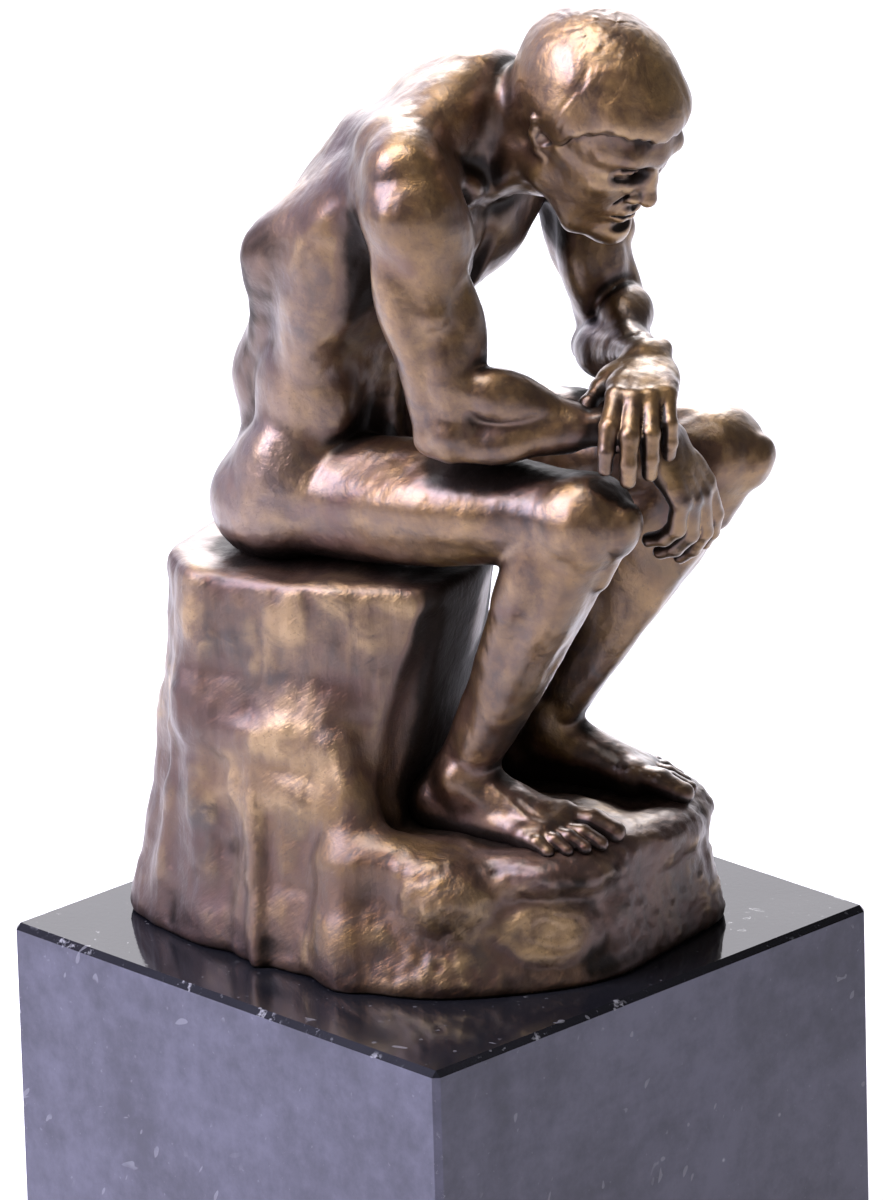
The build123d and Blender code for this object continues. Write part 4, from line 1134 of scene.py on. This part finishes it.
class Nodes:
    """Short forms for the nodes used below; every method returns a socket."""

    def __init__(self, nt):
        self.nt = nt

    def put(self, socket, value):
        if isinstance(value, bpy.types.NodeSocket):
            self.nt.links.new(value, socket)
        else:
            socket.default_value = value

    def where(self, scale=(1, 1, 1), turn=(0, 0, 0)):
        """Place on the object in metres, stretched and turned."""
        tc = self.nt.nodes.new("ShaderNodeTexCoord")
        mp = self.nt.nodes.new("ShaderNodeMapping")
        self.nt.links.new(tc.outputs["Object"], mp.inputs["Vector"])
        mp.inputs["Scale"].default_value = scale
        mp.inputs["Rotation"].default_value = turn
        return mp.outputs["Vector"]

    def drawn_out(self, length, turn):
        """Place on the object, drawn out along an axis that is turned first."""
        v = self.where((1, 1, length), turn)
        v.node.vector_type = "TEXTURE"
        return v

    def noise(self, at, scale, detail=3.0, rough=0.5, twist=0.0, colour=False):
        n = self.nt.nodes.new("ShaderNodeTexNoise")
        self.put(n.inputs["Vector"], at)
        n.inputs["Scale"].default_value = scale
        n.inputs["Detail"].default_value = detail
        n.inputs["Roughness"].default_value = rough
        n.inputs["Distortion"].default_value = twist
        return n.outputs["Color" if colour else "Fac"]

    def cells(self, at, scale, feature="F1", out="Distance", rand=1.0):
        n = self.nt.nodes.new("ShaderNodeTexVoronoi")
        n.feature = feature
        self.put(n.inputs["Vector"], at)
        n.inputs["Scale"].default_value = scale
        n.inputs["Randomness"].default_value = rand
        return n.outputs[out]

    def math(self, op, a, b=0.0, c=None, clamp=False):
        n = self.nt.nodes.new("ShaderNodeMath")
        n.operation, n.use_clamp = op, clamp
        self.put(n.inputs[0], a)
        self.put(n.inputs[1], b)
        if c is not None:
            self.put(n.inputs[2], c)
        return n.outputs[0]

    def span(self, v, a, b, lo=0.0, hi=1.0, smooth=True):
        n = self.nt.nodes.new("ShaderNodeMapRange")
        n.interpolation_type = "SMOOTHSTEP" if smooth else "LINEAR"
        n.clamp = True
        for i, x in enumerate((v, a, b, lo, hi)):
            self.put(n.inputs[i], x)
        return n.outputs[0]

    def ramp(self, v, *stops):
        n = self.nt.nodes.new("ShaderNodeValToRGB")
        self.put(n.inputs["Fac"], v)
        el = n.color_ramp.elements
        while len(el) < len(stops):
            el.new(0.5)
        for e, (pos, col) in zip(el, stops):
            e.position, e.color = pos, (*col, 1)
        return n.outputs["Color"]

    def mix(self, f, a, b, kind="MIX"):
        n = self.nt.nodes.new("ShaderNodeMix")
        n.data_type, n.blend_type = "RGBA", kind
        self.put(n.inputs["Factor"], f)
        self.put(n.inputs[6], a if isinstance(a, bpy.types.NodeSocket) else (*a, 1))
        self.put(n.inputs[7], b if isinstance(b, bpy.types.NodeSocket) else (*b, 1))
        return n.outputs[2]

    def stored(self, name):
        n = self.nt.nodes.new("ShaderNodeAttribute")
        n.attribute_type, n.attribute_name = "GEOMETRY", name
        return n.outputs["Fac"]

    def facing_up(self):
        g = self.nt.nodes.new("ShaderNodeNewGeometry")
        sp = self.nt.nodes.new("ShaderNodeSeparateXYZ")
        self.nt.links.new(g.outputs["Normal"], sp.inputs[0])
        return sp.outputs["Z"]

    def split(self, v):
        sp = self.nt.nodes.new("ShaderNodeSeparateXYZ")
        self.put(sp.inputs[0], v)
        return sp.outputs

    def bump(self, height, strength, depth, under=None):
        n = self.nt.nodes.new("ShaderNodeBump")
        n.inputs["Strength"].default_value = strength
        n.inputs["Distance"].default_value = depth
        self.put(n.inputs["Height"], height)
        if under is not None:
            self.put(n.inputs["Normal"], under)
        return n.outputs["Normal"]


def bronze_material(name, rock):
    """Waxed brown bronze: gold where it is rubbed, red-brown between, near black in the hollows and, as painted shade,
    where the parts crowd each other; on the figure a painted lilac-grey sheen down its left-hand side.
    """
    m, n, b = new_material(name)
    at = n.where()
    hollow_and_shade, ridge = n.stored("hollow_and_shade"), n.stored("ridge")
    broad = n.noise(at, 34.0, 4.0, 0.55, 0.8)
    mid = n.noise(at, 120.0, 5.0, 0.6, 0.5)
    fine = n.noise(at, 520.0, 4.0, 0.6)
    tone = n.math("ADD", n.math("ADD", n.math("MULTIPLY", broad, 0.50), n.math("MULTIPLY", mid, 0.34)), n.math("MULTIPLY", fine, 0.16))
    if rock:
        down = n.noise(n.where((1.0, 1.0, 0.10)), 210.0, 4.0, 0.6, 0.3)
        tone = n.math("ADD", n.math("MULTIPLY", tone, 0.72), n.math("MULTIPLY", down, 0.28))
    height = n.split(at)[2]
    tone = n.math("ADD", tone, n.span(height, 0.09, 0.27, -0.075, 0.03, False))
    colour = n.ramp(tone, (0.36, (0.020, 0.009, 0.005)), (0.45, (0.078, 0.035, 0.013)), (0.54, (0.165, 0.088, 0.030)), (0.65, (0.305, 0.180, 0.062)))
    warm = n.span(n.noise(n.where((1, 1, 1), (0.4, 0.2, 0.9)), 27.0, 4.0, 0.6, 1.0), 0.46, 0.66)
    colour = n.mix(n.math("MULTIPLY", warm, 0.55), colour, (0.225, 0.122, 0.028))
    rust = n.span(n.noise(n.where((1, 1, 1), (1.1, 0.5, 0.3)), 46.0, 5.0, 0.6, 0.6), 0.55, 0.70)
    colour = n.mix(n.math("MULTIPLY", rust, 0.70), colour, (0.075, 0.022, 0.009))
    sx, sy, sz = n.split(at)
    side = n.math("SUBTRACT", n.math("MULTIPLY", sx, 0.72), n.math("MULTIPLY", sy, 0.69))
    if rock:
        # ochre over the front of the lower block, greyer brown on the seat block and the back
        ochre = n.math("MULTIPLY", n.math("MULTIPLY", n.span(side, -0.042, -0.024), n.span(side, 0.016, -0.004)), n.span(sz, 0.146, 0.128))
        grey = n.math("MULTIPLY", n.math("SUBTRACT", 1.0, ochre), n.span(broad, 0.30, 0.60, 0.25, 0.75))
        colour = n.mix(n.math("MULTIPLY", ochre, n.span(mid, 0.34, 0.60, 0.2, 0.80)), colour, (0.160, 0.084, 0.015))
        colour = n.mix(n.math("MULTIPLY", grey, 0.50), colour, (0.150, 0.094, 0.066))
    else:
        # painted sheen: a lilac-grey cast over the figure's left-hand side as the camera sees it, where the lilac light
        # from the left falls; patchy with the broad noise
        grey = n.math("MULTIPLY", n.span(side, -0.010, -0.045), n.span(broad, 0.30, 0.62, 0.35, 1.0))
        colour = n.mix(n.math("MULTIPLY", grey, 0.62), colour, (0.215, 0.160, 0.142))
    # rubbed to gold on the edges and high points
    gold = n.math("MULTIPLY", n.span(ridge, 0.06, 0.55), n.span(mid, 0.36, 0.62), clamp=True)
    colour = n.mix(n.math("MULTIPLY", gold, 0.75), colour, (0.38, 0.248, 0.110))
    # redder, then black towards the hollows, with an uneven edge: patina settled in the hollows, and painted shade
    # between the parts, behind the calves and along the rock's foot
    depth_and_shade = n.math("ADD", hollow_and_shade, n.math("MULTIPLY", n.math("SUBTRACT", mid, 0.5), 0.35))
    red = n.span(depth_and_shade, 0.06, 0.21)
    colour = n.mix(n.math("MULTIPLY", red, 0.62), colour, (0.060, 0.018, 0.009))
    black = n.span(depth_and_shade, 0.26, 0.58) if rock else n.span(depth_and_shade, 0.18, 0.46)
    colour = n.mix(n.math("MULTIPLY", black, 0.95), colour, (0.010, 0.006, 0.004))
    specks = n.span(n.noise(at, 1500.0, 2.0, 0.5), 0.60, 0.72)
    colour = n.mix(n.math("MULTIPLY", specks, 0.35), colour, (0.045, 0.024, 0.014))
    n.put(b.inputs["Base Color"], colour)
    b.inputs["Metallic"].default_value = 0.88
    rough = n.math("ADD", n.span(mid, 0.30, 0.70, 0.35, 0.50, False), n.math("MULTIPLY", black, 0.22))
    rough = n.math("ADD", rough, n.math("MULTIPLY", n.math("SUBTRACT", fine, 0.5), 0.16))
    n.put(b.inputs["Roughness"], n.math("ADD", rough, 0.07) if rock else rough)
    n.put(b.inputs["Coat Weight"], n.span(black, 0.0, 1.0, 1.0, 0.25))
    b.inputs["Coat Roughness"].default_value = 0.44 if rock else 0.34
    b.inputs["Coat IOR"].default_value = 1.56
    # tool marks of the wax, the cast skin, and on the rock the scraped streaks and the stipple
    h1 = n.bump(mid, 0.35, 0.0011)
    h2 = n.bump(n.noise(at, 330.0, 3.0, 0.6, 0.4), 0.45, 0.0007, h1)
    h3 = n.bump(n.noise(at, 1400.0, 2.0, 0.5), 0.22, 0.00018, h2)
    if rock:
        h3 = n.bump(down, 0.40, 0.0012, h3)
        strokes = n.noise(n.drawn_out(5.0, (0.9, 0.3, 0.4)), 620.0, 3.0, 0.6, 0.3)
        h3 = n.bump(strokes, 0.40, 0.0008, h3)
    n.put(b.inputs["Normal"], h3)
    return m


def marble_material():
    """Black marble: polished top, honed sides with a blue-grey haze (partly the honed stone's own greyness, partly
    painted reflection), pale flecks, hairline scratches, chipped edges.
    """
    m, n, b = new_material("black_marble")
    at = n.where()
    up = n.facing_up()
    top = n.span(up, 0.30, 0.60)
    cloud = n.noise(at, 26.0, 5.0, 0.6, 0.7)
    grain = n.noise(at, 900.0, 3.0, 0.6)
    colour = n.ramp(cloud, (0.30, (0.004, 0.004, 0.006)), (0.55, (0.007, 0.007, 0.009)), (0.75, (0.011, 0.011, 0.014)))
    # honed sides: a thin blue-grey haze, uneven: partly the honed stone's own greyness, partly painted reflection of
    # the pale lilac surroundings
    honed_grey_and_sheen = n.math("MULTIPLY", n.math("SUBTRACT", 1.0, top), n.span(n.math("ADD", n.math("MULTIPLY", n.noise(at, 22.0, 4.0, 0.6, 0.6), 0.55), n.math("MULTIPLY", n.noise(at, 150.0, 6.0, 0.7), 0.45)), 0.36, 0.64, 0.50, 1.0))
    colour = n.mix(honed_grey_and_sheen, colour, (0.092, 0.091, 0.124))
    # pale flecks and scratches
    fleck = n.math("MULTIPLY", n.math("MULTIPLY", n.span(n.cells(at, 95.0), 0.075, 0.03), n.span(n.noise(at, 40.0, 2.0), 0.52, 0.60)), n.span(top, 0.0, 1.0, 1.0, 0.25))
    speck = n.math("MULTIPLY", n.span(n.noise(at, 700.0, 2.0, 0.5), 0.68, 0.76), 0.5)
    # short hairline scratches, in a few places only
    some = n.span(n.noise(at, 55.0, 2.0), 0.54, 0.60)
    scratch_a = n.span(n.noise(n.drawn_out(18.0, (0.5, 0.35, 0.2)), 420.0, 1.0), 0.705, 0.73)
    scratch_b = n.span(n.noise(n.drawn_out(14.0, (1.1, -0.8, 0.6)), 380.0, 1.0), 0.715, 0.74)
    scratches = n.math("MULTIPLY", n.math("ADD", scratch_a, scratch_b), some)
    # worn and chipped along the edges of the top and down the corners
    x, y, z = n.split(at)
    dx, dy = n.math("SUBTRACT", 0.06, n.math("ABSOLUTE", x)), n.math("SUBTRACT", 0.06, n.math("ABSOLUTE", y))
    near = n.math("ADD", n.math("SUBTRACT", 0.0915, z), n.math("MINIMUM", dx, dy))
    edge = n.math("MINIMUM", near, n.math("ADD", dx, dy))
    edge = n.math("ADD", edge, n.math("MULTIPLY", n.math("SUBTRACT", n.noise(at, 300.0, 4.0, 0.7), 0.5), 0.0060))
    chips = n.math("MULTIPLY", n.span(edge, 0.0010, 0.0004), n.span(n.noise(at, 75.0, 2.0), 0.50, 0.58))
    marks = n.math("ADD", n.math("ADD", fleck, n.math("MULTIPLY", chips, 0.55)), n.math("ADD", n.math("MULTIPLY", speck, 0.25), n.math("MULTIPLY", scratches, 0.22)), clamp=True)
    colour = n.mix(marks, colour, (0.36, 0.36, 0.39))
    n.put(b.inputs["Base Color"], colour)
    rough = n.math("ADD", n.math("MULTIPLY", top, -0.33), n.span(cloud, 0.3, 0.7, 0.36, 0.44, False))
    rough = n.math("ADD", rough, n.math("MULTIPLY", n.math("SUBTRACT", grain, 0.5), 0.10))
    n.put(b.inputs["Roughness"], rough)
    b.inputs["IOR"].default_value = 1.33
    h = n.bump(grain, 0.05, 0.0002)
    h = n.bump(marks, 0.25, 0.0003, h)
    n.put(b.inputs["Normal"], h)
    return m


def felt_material():
    m, n, b = new_material("felt_dark_green")
    at = n.where()
    fuzz = n.noise(at, 1300.0, 4.0, 0.7, 0.6)
    mat = n.noise(at, 140.0, 3.0, 0.6)
    n.put(b.inputs["Base Color"], n.mix(n.span(n.math("ADD", n.math("MULTIPLY", fuzz, 0.6), n.math("MULTIPLY", mat, 0.4)), 0.35, 0.65), (0.006, 0.016, 0.010), (0.020, 0.045, 0.028)))
    b.inputs["Roughness"].default_value = 0.95
    b.inputs["Sheen Weight"].default_value = 0.4
    n.put(b.inputs["Normal"], n.bump(fuzz, 0.8, 0.0006))
    return m


def metal_material(name, dark, light, rough, grain=(1, 1, 0.05)):
    """Turned and drawn metal: lengthwise grain, dull patches, a little staining."""
    m, n, b = new_material(name)
    at = n.where()
    lines = n.noise(n.where(grain), 2600.0, 3.0, 0.6)
    stain_and_shade = n.noise(at, 160.0, 5.0, 0.6, 0.5)
    n.put(b.inputs["Base Color"], n.mix(n.span(stain_and_shade, 0.34, 0.68), dark, light))
    b.inputs["Metallic"].default_value = 1.0
    n.put(b.inputs["Roughness"], n.math("ADD", n.span(stain_and_shade, 0.3, 0.7, rough + 0.12, rough, False), n.math("MULTIPLY", n.math("SUBTRACT", lines, 0.5), 0.15)))
    n.put(b.inputs["Normal"], n.bump(lines, 0.15, 0.0001))
    return m


def paint(ob, mat):
    ob.data.materials.clear()
    ob.data.materials.append(mat)


SKIN, ROCK = bronze_material("bronze_figure", False), bronze_material("bronze_rock", True)
STATUE_GRID = Grid(V(-66, -66, -14), V(62, 80, 196), 1.3)
STATUE = statue_field(STATUE_GRID)
made = [make_head(), make_torso(), make_arm(R_), make_arm(L_), make_lap(), make_leg(R_), make_leg(L_), make_rock()]
for ob in made:
    paint(ob, ROCK if ob.name == "rock" else SKIN)
FINISH = {"marble": marble_material(), "felt": felt_material(),
          "dowel_brass": metal_material("dowel_brass", (0.36, 0.22, 0.07), (0.62, 0.44, 0.17), 0.26),
          "zinc_steel": metal_material("zinc_steel", (0.34, 0.36, 0.38), (0.60, 0.61, 0.60), 0.30),
          "bronze": metal_material("bronze_inside", (0.10, 0.05, 0.025), (0.26, 0.16, 0.08), 0.42, (1, 1, 1))}
for key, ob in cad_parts.items():
    kind = "marble" if key == "marble_plinth" else "felt" if key == "felt_pad" else "dowel_brass" if "dowel" in key or "pin" in key else "bronze" if "casting" in key else "zinc_steel"
    paint(ob, FINISH[kind])

# ------------------------------------------------------------------ stage, light, camera
floor = bpy.data.objects.new("floor", bpy.data.meshes.new("floor"))
floor.data.from_pydata([(-3, -3, 0), (3, -3, 0), (3, 3, 0), (-3, 3, 0)], [], [(0, 1, 2, 3)])
bpy.context.scene.collection.objects.link(floor)
fm, fn, fb = new_material("floor_pale")
fn.put(fb.inputs["Base Color"], fn.mix(fn.span(fn.noise(fn.where(), 3.0, 2.0), 0.3, 0.7), (0.88, 0.88, 0.89), (0.91, 0.91, 0.92)))
fb.inputs["Roughness"].default_value = 0.8
floor.data.materials.append(fm)

world = bpy.data.worlds.new("studio")
bpy.context.scene.world = world
world.use_nodes = True
WALL = Vector((0.64, 0.67, 0.30)).normalized()      # the side of the studio with the white wall
wn = Nodes(world.node_tree)
tc = world.node_tree.nodes.new("ShaderNodeTexCoord")
dot = world.node_tree.nodes.new("ShaderNodeVectorMath")
dot.operation = "DOT_PRODUCT"
world.node_tree.links.new(tc.outputs["Generated"], dot.inputs[0])
dot.inputs[1].default_value = WALL
bg = world.node_tree.nodes["Background"]
left = world.node_tree.nodes.new("ShaderNodeVectorMath")
left.operation = "DOT_PRODUCT"
world.node_tree.links.new(tc.outputs["Generated"], left.inputs[0])
left.inputs[1].default_value = Vector((-0.45, 0.80, 0.40)).normalized()      # and a second, dimmer one
lilac = wn.span(left.outputs["Value"], 0.50, 0.92, 0.0, 1.0)
wn.put(bg.inputs["Color"], wn.mix(lilac, (0.93, 0.91, 0.97), (0.70, 0.69, 1.0)))
wn.put(bg.inputs["Strength"], wn.math("ADD", wn.span(dot.outputs["Value"], 0.78, 0.97, 0.16, 3.3), wn.math("MULTIPLY", lilac, 1.15)))
bpy.context.scene.view_settings.view_transform = "Standard"


def area(name, loc, target, size, power, colour=(1, 1, 1)):
    d = bpy.data.lights.new(name, "AREA")
    d.shape, d.size, d.size_y, d.energy, d.color = "RECTANGLE", size[0], size[1], power, colour
    o = bpy.data.objects.new(name, d)
    o.location = loc
    o.rotation_euler = (Vector(target) - Vector(loc)).to_track_quat("-Z", "Y").to_euler()
    bpy.context.scene.collection.objects.link(o)
    return o


area("key", (-1.20, 0.50, 0.90), (-0.05, 0.05, 0.14), (0.7, 0.7), 19, (0.77, 0.75, 1.0))
area("top", (-0.14, 0.04, 0.78), (0, 0, 0.20), (0.34, 0.34), 5.0, (1.0, 0.97, 0.97))
area("left", (-0.46, 0.24, 0.72), (-0.34, 0.18, 0.0), (0.3, 0.3), 5.4, (0.80, 0.78, 1.0))
area("far", (1.0, 1.0, 1.1), (0.6, 0.6, 0.0), (0.7, 0.7), 17, (0.98, 0.98, 1.0))
area("front", (-0.35, -1.3, 0.55), (0, 0, 0.16), (0.4, 0.5), 0.9, (1.0, 0.84, 0.66))

cam = bpy.data.objects.new("camera", bpy.data.cameras.new("camera"))
bpy.context.scene.collection.objects.link(cam)
bpy.context.scene.camera = cam
AZ, EL, ROLL, DIST = math.radians(-43.9), math.radians(19.7), math.radians(-1.6), 2.3377
back = Vector((math.sin(AZ) * math.cos(EL), -math.cos(AZ) * math.cos(EL), math.sin(EL)))
target = Vector((0, 0, 0.1575))
cam.location = target + back * DIST
q = (-back).to_track_quat("-Z", "Y")
cam.rotation_mode = "QUATERNION"
cam.rotation_quaternion = q @ Matrix.Rotation(ROLL, 3, "Z").to_quaternion()
cam.data.sensor_width = 36
cam.data.lens = 11911.5 * 36 / 1200
cam.data.shift_x = 10.4 / 1200
cam.data.clip_start, cam.data.clip_end = 0.05, 20
